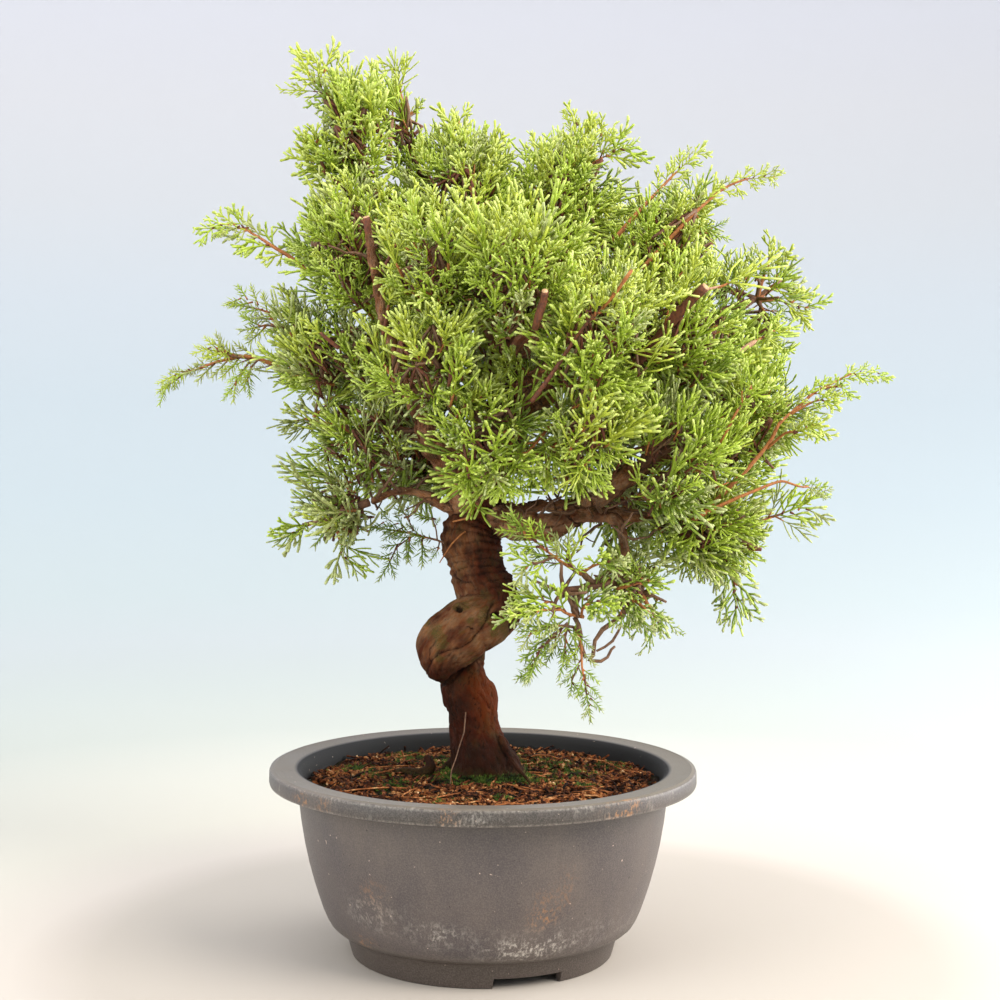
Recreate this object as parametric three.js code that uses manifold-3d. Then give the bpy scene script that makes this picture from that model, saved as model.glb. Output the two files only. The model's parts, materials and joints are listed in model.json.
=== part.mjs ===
// Chinese juniper bonsai in a round plastic training bowl.
// Millimetres, +Z up, the front faces -Y. The plant is laid out about the bowl's axis, and the
// whole group is then moved so that the origin is the bottom centre of its bounding box.
import * as THREE from "three";
import { mergeVertices } from "three/addons/utils/BufferGeometryUtils.js";
import Module from "manifold-3d";

const wasm = await Module();
wasm.setup();

// ---------------------------------------------------------------- driving dimensions

const GAP = 0.3; // clearance between neighbouring solids
const CLOSE = 0.004; // corners of one solid stay further apart than this
const SLIVER = 0.03; // edges shorter than this are taken out of a joined solid
const ROUND = 34; // facets round the bowl and the soil

const BOWL = {
  rimRadius: 100,
  rimTop: 88,
  rimUnder: 80.4,
  landInner: 88, // inner edge of the rim's flat top
  mouthRadius: 84,
  mouthTop: 85,
  floorTop: 17,
  floorUnder: 14,
  footRadius: 59.5,
  footInner: 56.3,
  // outside of the foot and the wall, radius and height, up to the rim
  outside: [
    [63, 8], [65, 14], [67, 15.5], [70.5, 18.6], [75, 23], [79.3, 35], [83.5, 50], [87, 80.4],
  ],
  // inside of the wall, from the floor up
  inside: [[62, 17], [72, 25], [80, 50], [83.9, 80.4]],
};
const NOTCH = { height: 5, width: 31, depth: 20, angles: [-70, 50, 170] };

// height of the soil at the wall and under the trunk, and the flat patch the trunk stands on
const SOIL = { edge: 79.8, crown: 81.7, flat: 27, lump: 0.9, seed: 5 };

// The trunk leans left out of the soil, and behind the swelling of its bend it joins the upper
// trunk, which turns right and climbs to the tip: x, y, z and radius along each.
const TRUNK = {
  foot: [
    [2, 0, 79, 16.6], [-3, -2, 101, 12.3], [-6, -4, 116, 11.2], [-9, -7, 128, 11.6], [-9, -12, 150, 10],
  ],
  course: [
    [-17, -11, 131, 6], [-18, -16, 138, 11.4], [-17, -19, 146, 13.8], [-8, -18, 154.5, 14.8],
    [3, -13, 162, 14.8], [1, -6, 177, 13.8], [-4.5, -1, 194, 12.9], [0, 3, 217, 10.7],
    [8, 5, 250, 7.8], [5, 6, 298, 5], [-9, 4, 338, 2.4],
  ],
  sides: 12,
  footRings: 9,
  rings: 26,
  // root flare: how far the lobes stand out, how high they fade, and where they point
  flare: 0.34,
  flareHeight: 0.22,
  lobes: [-8, 105, -128],
};

const LIMB_SIDES = 5;
const LIMB_RINGS = 4;
// limb: parent, place along the parent (0 foot, 1 tip), radius at its root and tip, course
const LIMBS = {
  limb_left_leader: [
    "trunk", 0.655, 7, 2.3, [[-18, -11, 228], [-33, -30, 260], [-45, -50, 298], [-51, -58, 333]],
  ],
  limb_left_bottom: ["trunk", 0.655, 5.2, 2.3, [[-24, -7, 211], [-38, -12, 216], [-52, -14, 212]]],
  limb_left_low: ["trunk", 0.72, 4.2, 2.2, [[-20, 6, 238], [-42, 2, 244]]],
  limb_left_arm: ["trunk", 0.795, 4.2, 2.2, [[-22, 10, 268], [-52, 6, 280]]],
  limb_left_shoulder: ["trunk", 0.885, 3.4, 2, [[-20, -2, 312], [-42, -10, 322]]],
  limb_apex_left: ["trunk", 0.93, 3, 1.8, [[-28, 2, 338], [-54, -4, 356]]],
  limb_apex_back: ["trunk", 0.955, 2.6, 1.6, [[-22, 16, 350], [-35, 25, 374]]],
  limb_top_right: ["trunk", 0.905, 3.2, 2, [[14, 6, 322], [29, 6, 342]]],
  limb_upper_right: ["trunk", 0.86, 4, 2.2, [[36, 6, 302], [72, 0, 326]]],
  limb_right_outer: ["trunk", 0.825, 4.4, 2.2, [[52, 14, 284], [106, 17, 300]]],
  limb_right_mid: ["trunk", 0.8, 4.4, 2.4, [[38, -8, 270], [70, -24, 284]]],
  limb_right_low: ["trunk", 0.64, 7.6, 3.4, [[26, -6, 203], [44, -12, 208], [70, -26, 230]]],
  limb_right_arm: ["limb_right_low", 0.72, 3.6, 2, [[82, -12, 232], [108, -10, 250]]],
  limb_right_bottom: ["limb_right_low", 0.5, 3.8, 2, [[66, -6, 206], [94, -6, 204]]],
  limb_droop: ["limb_right_low", 0.6, 3.4, 2, [[60, -32, 206], [63, -42, 189]]],
  limb_front_upper: ["trunk", 0.865, 3.4, 2, [[1, -20, 294], [-4, -42, 308]]],
  limb_front_low: ["trunk", 0.76, 4, 2.2, [[0, -22, 248], [-9, -44, 258]]],
  limb_front_right: ["trunk", 0.79, 4, 2.2, [[20, -24, 254], [37, -44, 266]]],
  limb_back_upper: ["trunk", 0.88, 3.8, 2.2, [[-1, 26, 302], [-14, 44, 322]]],
  limb_back_top_right: ["trunk", 0.85, 3.8, 2.2, [[26, 28, 292], [48, 50, 311]]],
  limb_back_middle: ["trunk", 0.775, 4.4, 2.4, [[-1, 28, 250], [-15, 50, 262]]],
  limb_back_right: ["trunk", 0.74, 5, 2.6, [[34, 26, 236], [68, 46, 246]]],
  limb_back_low_right: ["trunk", 0.66, 4.6, 2.4, [[26, 20, 208], [52, 40, 210]]],
  limb_back_low_left: ["trunk", 0.69, 4, 2.2, [[-10, 24, 214], [-22, 38, 219]]],
};

// foliage mass: the limb whose tip carries it, centre, radii, and the tips that stand out of it
const MASSES = {
  crown_top: ["trunk", [-11, 4, 362], [38, 49, 38], [[-15, 4, 398]]],
  apex_left: ["limb_apex_left", [-66, -8, 387], [26, 32, 38], [[-82, -8, 423], [-87, -20, 412]]],
  apex_back: ["limb_apex_back", [-40, 26, 393], [23, 28, 33], [[-46, 32, 425], [-30, 25, 398]]],
  top_right: ["limb_top_right", [40, 5, 362], [40, 49, 36], [[59, 10, 390], [73, 0, 381], [43, 4, 397]]],
  upper_right: ["limb_upper_right", [90, -4, 341], [43, 49, 36], [[138, -8, 361], [103, 8, 380]]],
  left_shoulder: ["limb_left_shoulder", [-63, -16, 332], [38, 49, 38], [[-131, -20, 335]]],
  left_arm: ["limb_left_arm", [-75, 4, 285], [45, 52, 33], [[-154, -6, 259], [-119, 14, 309]]],
  left_low: ["limb_left_low", [-61, -2, 244], [38, 45, 32], [[-98, -6, 250]]],
  left_bottom: ["limb_left_bottom", [-69, -15, 205], [36, 40, 32], [[-97, -22, 192], [-61, -20, 176]]],
  right_outer: [
    "limb_right_outer", [128, 16, 308], [37, 46, 38], [[160, 20, 301], [137, 14, 335], [151, 30, 317]],
  ],
  right_mid: ["limb_right_mid", [93, -34, 293], [38, 47, 36], []],
  right_arm: ["limb_right_arm", [127, -11, 255], [38, 48, 33], [[186, -16, 271], [158, -20, 244]]],
  right_low: ["limb_right_low", [88, -42, 240], [37, 44, 35], []],
  right_bottom: ["limb_right_bottom", [113, -8, 196], [38, 44, 40], [[161, -8, 213], [119, -12, 153]]],
  droop_right: ["limb_droop", [71, -33, 172], [28, 33, 27], [[82, -40, 153]]],
  droop_front: ["limb_droop", [35, -58, 176], [30, 32, 34], [[46, -66, 120], [17, -60, 137]]],
  front_upper: ["limb_front_upper", [-22, -61, 319], [34, 42, 34], []],
  front_centre: ["limb_front_upper", [15, -72, 315], [34, 42, 34], []],
  front_left: ["limb_front_low", [-24, -66, 280], [32, 42, 32], []],
  front_low: ["limb_front_low", [2, -62, 246], [36, 40, 36], []],
  front_right: ["limb_front_right", [51, -71, 291], [36, 44, 36], []],
  front_right_low: ["limb_front_right", [47, -57, 249], [31, 42, 30], []],
  back_upper_left: ["limb_back_upper", [-40, 56, 334], [40, 47, 40], []],
  back_upper: ["limb_back_upper", [11, 73, 340], [42, 47, 42], []],
  back_upper_right: ["limb_back_top_right", [65, 63, 326], [43, 49, 39], []],
  back_left: ["limb_back_middle", [-44, 58, 278], [39, 47, 38], []],
  back_centre: ["limb_back_middle", [10, 80, 279], [40, 44, 40], []],
  back_mid_right: ["limb_back_right", [70, 71, 267], [42, 47, 40], []],
  back_right: ["limb_back_right", [114, 51, 256], [38, 47, 36], []],
  back_low_right: ["limb_back_low_right", [72, 50, 212], [42, 46, 38], []],
  back_low_left: ["limb_back_low_left", [-31, 50, 230], [35, 42, 32], []],
  trunk_sprig: ["trunk", [-36, 1, 187], [14, 12, 11], [[-49, -4, 173]]],
};

const SPRIG = { place: 0.585, reach: 9 }; // where the small sprig leaves the trunk, and its stem

const FOLIAGE = {
  core: 0.5, // share of a mass's radii that its dense inside takes up where sprays stand out
  joint: 0.84, // and where a neighbouring mass lies that way
  outside: 0.92, // a side with a neighbour nearer than this share of the radii has no sprays
  sprays: 8, // targets spread over the shell of a mass 30 mm in radius
  branches: 7, // twigs that carry them
  branchRoot: 1.5,
  branchTip: 0.9,
  twigShare: 0.42, // how far out the twigs run
  clear: 0.7, // distance kept from limbs and from the neighbouring masses
  least: 0.66, // a spray that can't stand out this far is left out
  width: 0.8, // spray's width and thickness over its length
  thickness: 0.17,
  root: 0.36, // share of the radii at which the sprays are rooted
};
// The slender end spray of a tip that stands out of its mass, and the small ones beside it.
const LEADER = {
  length: 22, width: 0.4, thickness: 0.2, // the end spray
  step: 10, side: 15, sideThickness: 0.24, // spacing, length and thickness of the small ones
  twigTip: 0.6,
};
// Small shifts tried where a joined solid comes out with corners that all but touch.
const SHIFTS = [[0, 0, 0], [0.07, 0.05, -0.06], [-0.09, 0.04, 0.08], [0.03, -0.1, 0.05]];

const FINISH = {
  bowl: { color: 0x2e2a2b, roughness: 0.55 },
  soil: { color: 0x5f3f2a, roughness: 0.95 },
  bark: { color: 0x6e4a35, roughness: 0.9 },
  limb: { color: 0x82512f, roughness: 0.9 },
  leaf: { color: 0x6f9a34, roughness: 0.8 },
};

// ---------------------------------------------------------------- helpers

const V = (p) => new THREE.Vector3(p[0], p[1], p[2]);

// Seeded random numbers in 0..1.
function randomFrom(seed) {
  let a = seed >>> 0;
  return () => {
    a = (a + 0x6d2b79f5) >>> 0;
    let t = Math.imul(a ^ (a >>> 15), 1 | a);
    t = (t + Math.imul(t ^ (t >>> 7), 61 | t)) ^ t;
    return ((t ^ (t >>> 14)) >>> 0) / 4294967296;
  };
}

// A closed geometry as a solid that can be joined and cut.
function solid(geometry) {
  const flat = geometry.index ? geometry.toNonIndexed() : geometry;
  const bare = new THREE.BufferGeometry().setAttribute("position", flat.getAttribute("position"));
  const merged = mergeVertices(bare, 1e-3);
  const index = merged.index.array;
  const triVerts = [];
  for (let i = 0; i < index.length; i += 3) {
    const [a, b, c] = [index[i], index[i + 1], index[i + 2]];
    if (a !== b && b !== c && c !== a) triVerts.push(a, b, c);
  }
  return new wasm.Manifold(
    new wasm.Mesh({
      numProp: 3,
      vertProperties: new Float32Array(merged.getAttribute("position").array),
      triVerts: new Uint32Array(triVerts),
    }),
  );
}

// A solid back as a named mesh.
function meshOf(name, body, finish) {
  const m = body.getMesh();
  const xyz = new Float32Array(m.numVert * 3);
  for (let i = 0; i < m.numVert; i++) {
    xyz.set(m.vertProperties.subarray(i * m.numProp, i * m.numProp + 3), i * 3);
  }
  const geometry = new THREE.BufferGeometry();
  geometry.setAttribute("position", new THREE.BufferAttribute(xyz, 3));
  geometry.setIndex(new THREE.BufferAttribute(new Uint32Array(m.triVerts), 1));
  geometry.computeVertexNormals();
  const material = new THREE.MeshStandardMaterial({ ...finish, flatShading: true });
  const mesh = new THREE.Mesh(geometry, material);
  mesh.name = name;
  return mesh;
}

// The biggest of a solid's bodies: scraps left by a cut and sealed hollows are dropped.
function largest(body) {
  return body.decompose().sort((a, b) => b.volume() - a.volume())[0];
}

// True when no two corners of a solid all but touch, which a file's rounding could join.
function isClean(body) {
  const m = body.getMesh();
  const seen = new Map();
  for (let i = 0; i < m.numVert; i++) {
    const p = [0, 1, 2].map((k) => m.vertProperties[i * m.numProp + k]);
    const cell = p.map((v) => Math.floor(v / CLOSE));
    for (let n = 0; n < 27; n++) {
      const step = [(n % 3) - 1, (Math.floor(n / 3) % 3) - 1, Math.floor(n / 9) - 1];
      const near = seen.get(cell.map((v, k) => v + step[k]).join()) ?? [];
      if (near.some((q) => Math.hypot(q[0] - p[0], q[1] - p[1], q[2] - p[2]) < CLOSE)) return false;
    }
    seen.set(cell.join(), [...(seen.get(cell.join()) ?? []), p]);
  }
  return true;
}

// The first of several tries at a joined or cut solid that comes out clean, or null.
function cleanOne(tries) {
  for (const make of tries) {
    const body = largest(make().simplify(SLIVER));
    if (isClean(body)) return body;
  }
  return null;
}

function boxesMeet(a, b) {
  const [p, q] = [a.boundingBox(), b.boundingBox()];
  return [0, 1, 2].every((k) => p.min[k] <= q.max[k] && q.min[k] <= p.max[k]);
}

function fromFaces(points, faces) {
  const xyz = faces.flatMap((f) => f.flatMap((i) => [points[i].x, points[i].y, points[i].z]));
  return new THREE.BufferGeometry().setAttribute("position", new THREE.Float32BufferAttribute(xyz, 3));
}

// Point and radius at share t of a course of [x, y, z, r] knots, on a Catmull-Rom curve.
function along(knots, t) {
  const last = knots.length - 1;
  const s = Math.min(Math.max(t, 0), 1) * last;
  const i = Math.min(Math.floor(s), last - 1);
  const u = s - i;
  const [a, b] = [knots[Math.max(i - 1, 0)], knots[i]];
  const [c, d] = [knots[i + 1], knots[Math.min(i + 2, last)]];
  return b.map((_, k) =>
    0.5 * (2 * b[k] + (c[k] - a[k]) * u + (2 * a[k] - 5 * b[k] + 4 * c[k] - d[k]) * u * u +
      (3 * b[k] - a[k] - 3 * c[k] + d[k]) * u * u * u));
}

// Ring centres, radii and frames along a course. The frame is carried on without twist.
function framesOf(knots, rings) {
  const frames = [];
  let side = new THREE.Vector3(1, 0, 0);
  for (let i = 0; i <= rings; i++) {
    const t = i / rings;
    const p = along(knots, t);
    const ahead = V(along(knots, Math.min(t + 0.01, 1)));
    const dir = ahead.sub(V(along(knots, Math.max(t - 0.01, 0)))).normalize();
    side = side.clone().addScaledVector(dir, -side.dot(dir)).normalize();
    frames.push({ t, at: V(p), radius: p[3], dir, side, up: dir.clone().cross(side) });
  }
  return frames;
}

// Tapering limb with closed ends along a course. swell(t, angle) scales its radius, and grow is
// added all round, for cutting a neighbour clear of it.
function limbGeometry(knots, sides, rings, swell = () => 1, grow = 0) {
  const frames = framesOf(knots, rings);
  const points = [];
  frames.forEach((f) => {
    for (let j = 0; j < sides; j++) {
      const a = (2 * Math.PI * j) / sides;
      const r = f.radius * swell(f.t, a) + grow;
      const p = f.at.clone()
        .addScaledVector(f.side, r * Math.cos(a)).addScaledVector(f.up, r * Math.sin(a));
      points.push(p);
    }
  });
  const [first, last] = [frames[0], frames[rings]];
  points.push(first.at.clone().addScaledVector(first.dir, -grow));
  points.push(last.at.clone().addScaledVector(last.dir, grow + 0.25 * last.radius));
  const [foot, tip] = [points.length - 2, points.length - 1];
  const faces = [];
  for (let j = 0; j < sides; j++) {
    const k = (j + 1) % sides;
    faces.push([foot, k, j]);
    for (let i = 0; i < rings; i++) {
      const [a, b] = [i * sides, (i + 1) * sides];
      faces.push([a + j, a + k, b + k], [a + j, b + k, b + j]);
    }
    faces.push([rings * sides + j, rings * sides + k, tip]);
  }
  return fromFaces(points, faces);
}

function turned(profile, facets) {
  const g = new THREE.LatheGeometry(profile.map(([r, z]) => new THREE.Vector2(r, z)), facets);
  g.rotateX(Math.PI / 2);
  return g;
}

// A solid cut clear of a neighbour, which cutter(grow) gives grown by the clearance.
function cutClear(body, cutter, clear) {
  if (!boxesMeet(body, cutter(clear))) return body;
  return cleanOne([0, 0.05, 0.1, 0.15].map((more) => () => body.subtract(cutter(clear + more))));
}

// ---------------------------------------------------------------- bowl and soil

function makeBowl() {
  const [foot, inner] = [BOWL.footRadius, BOWL.footInner];
  const profile = [
    [0, BOWL.floorUnder], [inner + 3.4, BOWL.floorUnder], [inner, 0], [foot, 0], [foot, NOTCH.height],
    ...BOWL.outside,
    [BOWL.rimRadius, BOWL.rimUnder], [BOWL.rimRadius, BOWL.rimTop - 1],
    [BOWL.rimRadius - 1.2, BOWL.rimTop],
    [BOWL.landInner, BOWL.rimTop], [BOWL.mouthRadius + 1, BOWL.mouthTop + 2],
    [BOWL.mouthRadius, BOWL.mouthTop],
    ...BOWL.inside.slice().reverse(), [0, BOWL.floorTop],
  ];
  let bowl = solid(turned(profile, ROUND));
  for (const degrees of NOTCH.angles) {
    const notch = new THREE.BoxGeometry(NOTCH.depth, NOTCH.width, 2 * NOTCH.height);
    notch.translate(BOWL.footRadius, 0, 0).rotateZ(THREE.MathUtils.degToRad(degrees));
    bowl = bowl.subtract(solid(notch));
  }
  return bowl;
}

function makeSoil() {
  const inside = BOWL.inside.slice(0, -1).map(([r, z]) => [r - GAP, z + GAP]);
  const edgeRadius = BOWL.inside.at(-1)[0] - GAP - 0.1;
  const profile = [
    [0, BOWL.floorTop + GAP], ...inside, [edgeRadius, SOIL.edge],
    [66, SOIL.edge + 0.8], [46, SOIL.edge + 1.2], [SOIL.flat, SOIL.crown], [0, SOIL.crown],
  ];
  const g = turned(profile, ROUND);
  // a rough surface between the wall and the trunk
  const random = randomFrom(SOIL.seed);
  const lumps = new Map();
  const xyz = g.getAttribute("position");
  for (let i = 0; i < xyz.count; i++) {
    const r = Math.hypot(xyz.getX(i), xyz.getY(i));
    if (xyz.getZ(i) < SOIL.edge + 0.3 || r < SOIL.flat + 1) continue;
    const key = `${Math.round(xyz.getX(i) * 10)},${Math.round(xyz.getY(i) * 10)}`;
    if (!lumps.has(key)) lumps.set(key, (random() * 2 - 1) * SOIL.lump);
    xyz.setZ(i, xyz.getZ(i) + lumps.get(key));
  }
  return solid(g);
}

// ---------------------------------------------------------------- trunk and limbs

// The trunk's cross-section is a little uneven, and its foot spreads into root lobes.
function uneven(t, angle) {
  return 1 + 0.05 * Math.cos(2 * angle + 9 * t) + 0.035 * Math.cos(3 * angle - 14 * t + 1);
}

function footSwell(t, angle) {
  const foot = Math.exp(-((t / TRUNK.flareHeight) ** 2));
  const lobe = TRUNK.lobes.reduce((sum, deg) => {
    const c = Math.cos(angle - THREE.MathUtils.degToRad(deg));
    return sum + Math.max(c, 0) ** 5;
  }, 0);
  return uneven(t, angle) + TRUNK.flare * foot * lobe;
}

const knotsOf = { trunk: TRUNK.course };
for (const [name, [parent, place, root, tip, course]] of Object.entries(LIMBS)) {
  const start = along(knotsOf[parent], place).slice(0, 3);
  const points = [start, ...course];
  knotsOf[name] = points.map((p, i) => [...p, root + (tip - root) * (i / (points.length - 1)) ** 0.8]);
}

function trunkBody(grow) {
  const foot = solid(limbGeometry(TRUNK.foot, TRUNK.sides, TRUNK.footRings, footSwell, grow));
  const rest = solid(limbGeometry(TRUNK.course, TRUNK.sides, TRUNK.rings, uneven, grow));
  return cleanOne([() => foot.add(rest)]);
}

function limbBody(name, grow) {
  if (name === "trunk") return trunkBody(grow);
  return solid(limbGeometry(knotsOf[name], LIMB_SIDES, LIMB_RINGS, undefined, grow));
}

const bodies = new Map();
bodies.set("trunk", trunkBody(0).trimByPlane([0, 0, 1], SOIL.crown + GAP));
// each limb is cut clear of its parent, and at the roots of limbs that leave side by side
const earlier = ["trunk"];
for (const name of Object.keys(LIMBS)) {
  let body = limbBody(name, 0);
  for (const other of earlier) body = cutClear(body, (grow) => limbBody(other, grow), GAP);
  bodies.set(name, body);
  earlier.push(name);
}

// ---------------------------------------------------------------- foliage

// A mass's stem starts just clear of the limb that carries it and bends in to its centre.
const stemOf = {};
for (const [name, [limb, centre]] of Object.entries(MASSES)) {
  let start, dir, radius;
  if (name === "trunk_sprig") {
    const p = along(knotsOf.trunk, SPRIG.place);
    dir = V(centre).sub(V(p)).normalize();
    start = V(p).addScaledVector(dir, SPRIG.reach);
    radius = 1.8;
  } else {
    const end = framesOf(knotsOf[limb], 20)[20];
    dir = end.dir;
    start = end.at.clone().addScaledVector(dir, 0.25 * end.radius + GAP + 0.1);
    radius = 0.9 * end.radius;
    // two masses on one tip: their stems stand side by side
    const twins = Object.values(MASSES).filter((m) => m[0] === limb && limb !== "trunk");
    if (twins.length > 1) {
      const other = twins.find((m) => m[1] !== centre)[1];
      const apart = V(centre).sub(V(other));
      apart.addScaledVector(dir, -apart.dot(dir)).normalize();
      radius *= 0.55;
      start.addScaledVector(apart, radius + GAP);
    }
  }
  const middle = start.clone().addScaledVector(dir, 0.3 * start.distanceTo(V(centre)));
  stemOf[name] = [start, middle.lerp(V(centre), 0.25), V(centre)].map((p, i) => [
    p.x, p.y, p.z, radius + (FOLIAGE.branchRoot - radius) * (i / 2),
  ]);
}

// Capsules [a, b, radius a, radius b] along a course.
function capsulesOf(knots, steps) {
  const list = [];
  for (let i = 0; i < steps; i++) {
    const [p, q] = [along(knots, i / steps), along(knots, (i + 1) / steps)];
    list.push([V(p), V(q), p[3], q[3]]);
  }
  return list;
}

// The trunk's are a tenth wider, for its uneven section.
const limbCapsules = [
  ...[...capsulesOf(TRUNK.foot, 10), ...capsulesOf(TRUNK.course, 40)]
    .map(([a, b, ra, rb]) => [a, b, ra * 1.1, rb * 1.1]),
  ...Object.keys(LIMBS).flatMap((name) => capsulesOf(knotsOf[name], 10)),
];
const stemCapsules = Object.fromEntries(
  Object.entries(stemOf).map(([name, knots]) => [name, capsulesOf(knots, 5)]),
);

// Distance from p to the surface of a capsule.
function clearance(p, [a, b, ra, rb]) {
  const ab = b.clone().sub(a);
  const t = Math.min(Math.max(p.clone().sub(a).dot(ab) / ab.lengthSq(), 0), 1);
  return a.clone().addScaledVector(ab, t).distanceTo(p) - (ra + (rb - ra) * t);
}

const sizeOf = (name) => MASSES[name][2].reduce((a, b) => a + b) / 3;

// How deep p lies in a mass: under 1 inside its ellipsoid, or beside a tip that stands out of it.
function depth([, centre, radii, tips], p) {
  const c = V(centre);
  const q = p.clone().sub(c);
  let d = Math.hypot(q.x / radii[0], q.y / radii[1], q.z / radii[2]);
  for (const tip of tips) d = Math.min(d, 0.55 + clearance(p, [c, V(tip), 0, 0]) / 14);
  return d;
}

// A point is a mass's own when it lies deeper in that mass than in any other.
function isOwn(name, p) {
  const own = depth(MASSES[name], p);
  return Object.keys(MASSES).every((other) =>
    other === name || (depth(MASSES[other], p) - own) * sizeOf(name) >= FOLIAGE.clear);
}

// A point is free for a mass when it is its own and clear of every limb.
function isFree(name, p, clear = FOLIAGE.clear) {
  if (!isOwn(name, p)) return false;
  if (limbCapsules.some((c) => clearance(p, c) < clear)) return false;
  for (const [other, list] of Object.entries(stemCapsules)) {
    if (other !== name && list.some((c) => clearance(p, c) < clear)) return false;
  }
  return true;
}

const inMass = ([, centre, radii], dir, share) =>
  V(centre).addScaledVector(V(radii).multiply(dir), share);

// How far out along dir the mass's own space runs, as a share of its radius: less than most
// where a neighbouring mass lies that way.
function reach(name, dir, most) {
  let share = 0.2;
  while (share + 0.04 <= most && isOwn(name, inMass(MASSES[name], dir, share + 0.04))) share += 0.04;
  return share + 0.04 > most ? most : share;
}

// n directions spread evenly over the sphere, jittered.
function spread(n, random) {
  const turn = random() * 2 * Math.PI;
  return Array.from({ length: n }, (_, i) => {
    const z = 1 - (2 * (i + 0.5)) / n;
    const a = turn + i * 2.399963 + (random() - 0.5) * 0.5;
    const r = Math.sqrt(1 - z * z);
    return new THREE.Vector3(r * Math.cos(a), r * Math.sin(a), z + (random() - 0.5) * 0.12).normalize();
  });
}

// Three-sided twig between two points.
function twig(a, b, ra, rb) {
  const knots = [[a.x, a.y, a.z, ra], [b.x, b.y, b.z, rb]];
  return limbGeometry(knots, 3, 1);
}

// Corners of a three-fingered spray from its root to its tip, flat side towards facing.
function sprayPoints(root, tip, facing, width, thickness) {
  const axis = tip.clone().sub(root);
  const length = axis.length();
  axis.divideScalar(length);
  const across = axis.clone().cross(facing).normalize();
  const normal = across.clone().cross(axis).normalize();
  const at = (x, y, z) =>
    root.clone().addScaledVector(axis, x * length).addScaledVector(across, y * width * length)
      .addScaledVector(normal, z * thickness * length);
  return [
    at(0, 0, 0), at(0.76, -0.5, 0), at(0.6, -0.16, 0), at(1, 0, 0), at(0.6, 0.16, 0), at(0.8, 0.44, 0),
    at(0.45, 0, 0.5), at(0.45, 0, -0.5),
  ];
}

// The spray as a closed blade: all its corners, or without the notches on a small one.
function spray(points, small = false) {
  const outline = small ? [0, 1, 3, 5] : [0, 1, 2, 3, 4, 5];
  const faces = outline.flatMap((i, n) => {
    const j = outline[(n + 1) % outline.length];
    return [[j, i, 6], [i, j, 7]];
  });
  return fromFaces(points, faces);
}

// A spray fits where its corners and the points along its middle are the mass's own.
const fits = (name, points) =>
  points.slice(1, 6).every((p) => isFree(name, p)) &&
  [0.55, 0.8].every((t) => isFree(name, points[0].clone().lerp(points[3], t)));

// The dense inside fills up towards the neighbours, and keeps back where the sprays stand out.
function makeCore(name, random) {
  const core = new THREE.IcosahedronGeometry(1, 1);
  const xyz = core.getAttribute("position");
  const shares = new Map();
  for (let i = 0; i < xyz.count; i++) {
    const dir = new THREE.Vector3().fromBufferAttribute(xyz, i).normalize();
    const key = dir.toArray().map((v) => Math.round(v * 100)).join();
    if (!shares.has(key)) {
      const share = reach(name, dir, 1);
      const open = share >= FOLIAGE.outside;
      const most = (open ? FOLIAGE.core : FOLIAGE.joint) * (0.88 + 0.24 * random());
      shares.set(key, Math.max(Math.min(share - 0.03, most), 0.2));
    }
    xyz.setXYZ(i, ...inMass(MASSES[name], dir, shares.get(key)).toArray());
  }
  return core;
}

// The corners of the sprays on the outside of a mass, each rooted near a branch and as long as
// its own space lets it be.
function outerSprays(name, branches, random) {
  const mass = MASSES[name];
  const found = [];
  for (const dir of spread(Math.round(FOLIAGE.sprays * (sizeOf(name) / 30) ** 2), random)) {
    if (reach(name, dir, 1) < FOLIAGE.outside) continue;
    const nearest = branches.reduce((a, b) => (b.dir.dot(dir) > a.dir.dot(dir) ? b : a));
    const root = inMass(mass, dir, FOLIAGE.root).lerp(nearest.end, 0.35 * random());
    const full = 0.98 + 0.14 * random();
    const tilt = new THREE.Vector3(random() - 0.5, random() - 0.5, random() - 0.5);
    const facing = dir.clone().addScaledVector(tilt, 0.9).normalize();
    for (let share = full; share > FOLIAGE.least; share -= 0.07) {
      const tip = inMass(mass, dir, share);
      const points = sprayPoints(root, tip, facing, FOLIAGE.width, FOLIAGE.thickness);
      if (!fits(name, points)) continue;
      found.push(points);
      break;
    }
  }
  return found;
}

// A tip that stands out of the mass: a twig, a slender end spray, and small ones by turns on
// its two sides.
function outstanding(name, tip, random) {
  const c = V(MASSES[name][1]);
  const end = V(tip);
  const dir = end.clone().sub(c);
  const length = dir.length();
  dir.divideScalar(length);
  const lead = sprayPoints(c.clone().addScaledVector(dir, length - LEADER.length), end,
    new THREE.Vector3(0, -1, 0.2), LEADER.width, LEADER.thickness);
  const sides = [];
  const across = dir.clone().cross(new THREE.Vector3(0, -1, 0.3)).normalize();
  for (let s = 0.8 * sizeOf(name), flip = 1; s < length - 12; s += LEADER.step, flip = -flip) {
    const root = c.clone().addScaledVector(dir, s);
    const out = dir.clone().addScaledVector(across, 0.75 * flip);
    out.y += (random() - 0.5) * 0.7;
    const to = root.clone().addScaledVector(out.normalize(), LEADER.side * (0.8 + 0.3 * random()));
    const facing = new THREE.Vector3(random() - 0.5, -1, 0.3);
    const points = sprayPoints(root, to, facing, FOLIAGE.width, LEADER.sideThickness);
    if (fits(name, points)) sides.push(points);
  }
  return { twig: twig(c, c.clone().lerp(end, 0.9), FOLIAGE.branchRoot, LEADER.twigTip), lead, sides };
}

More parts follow.
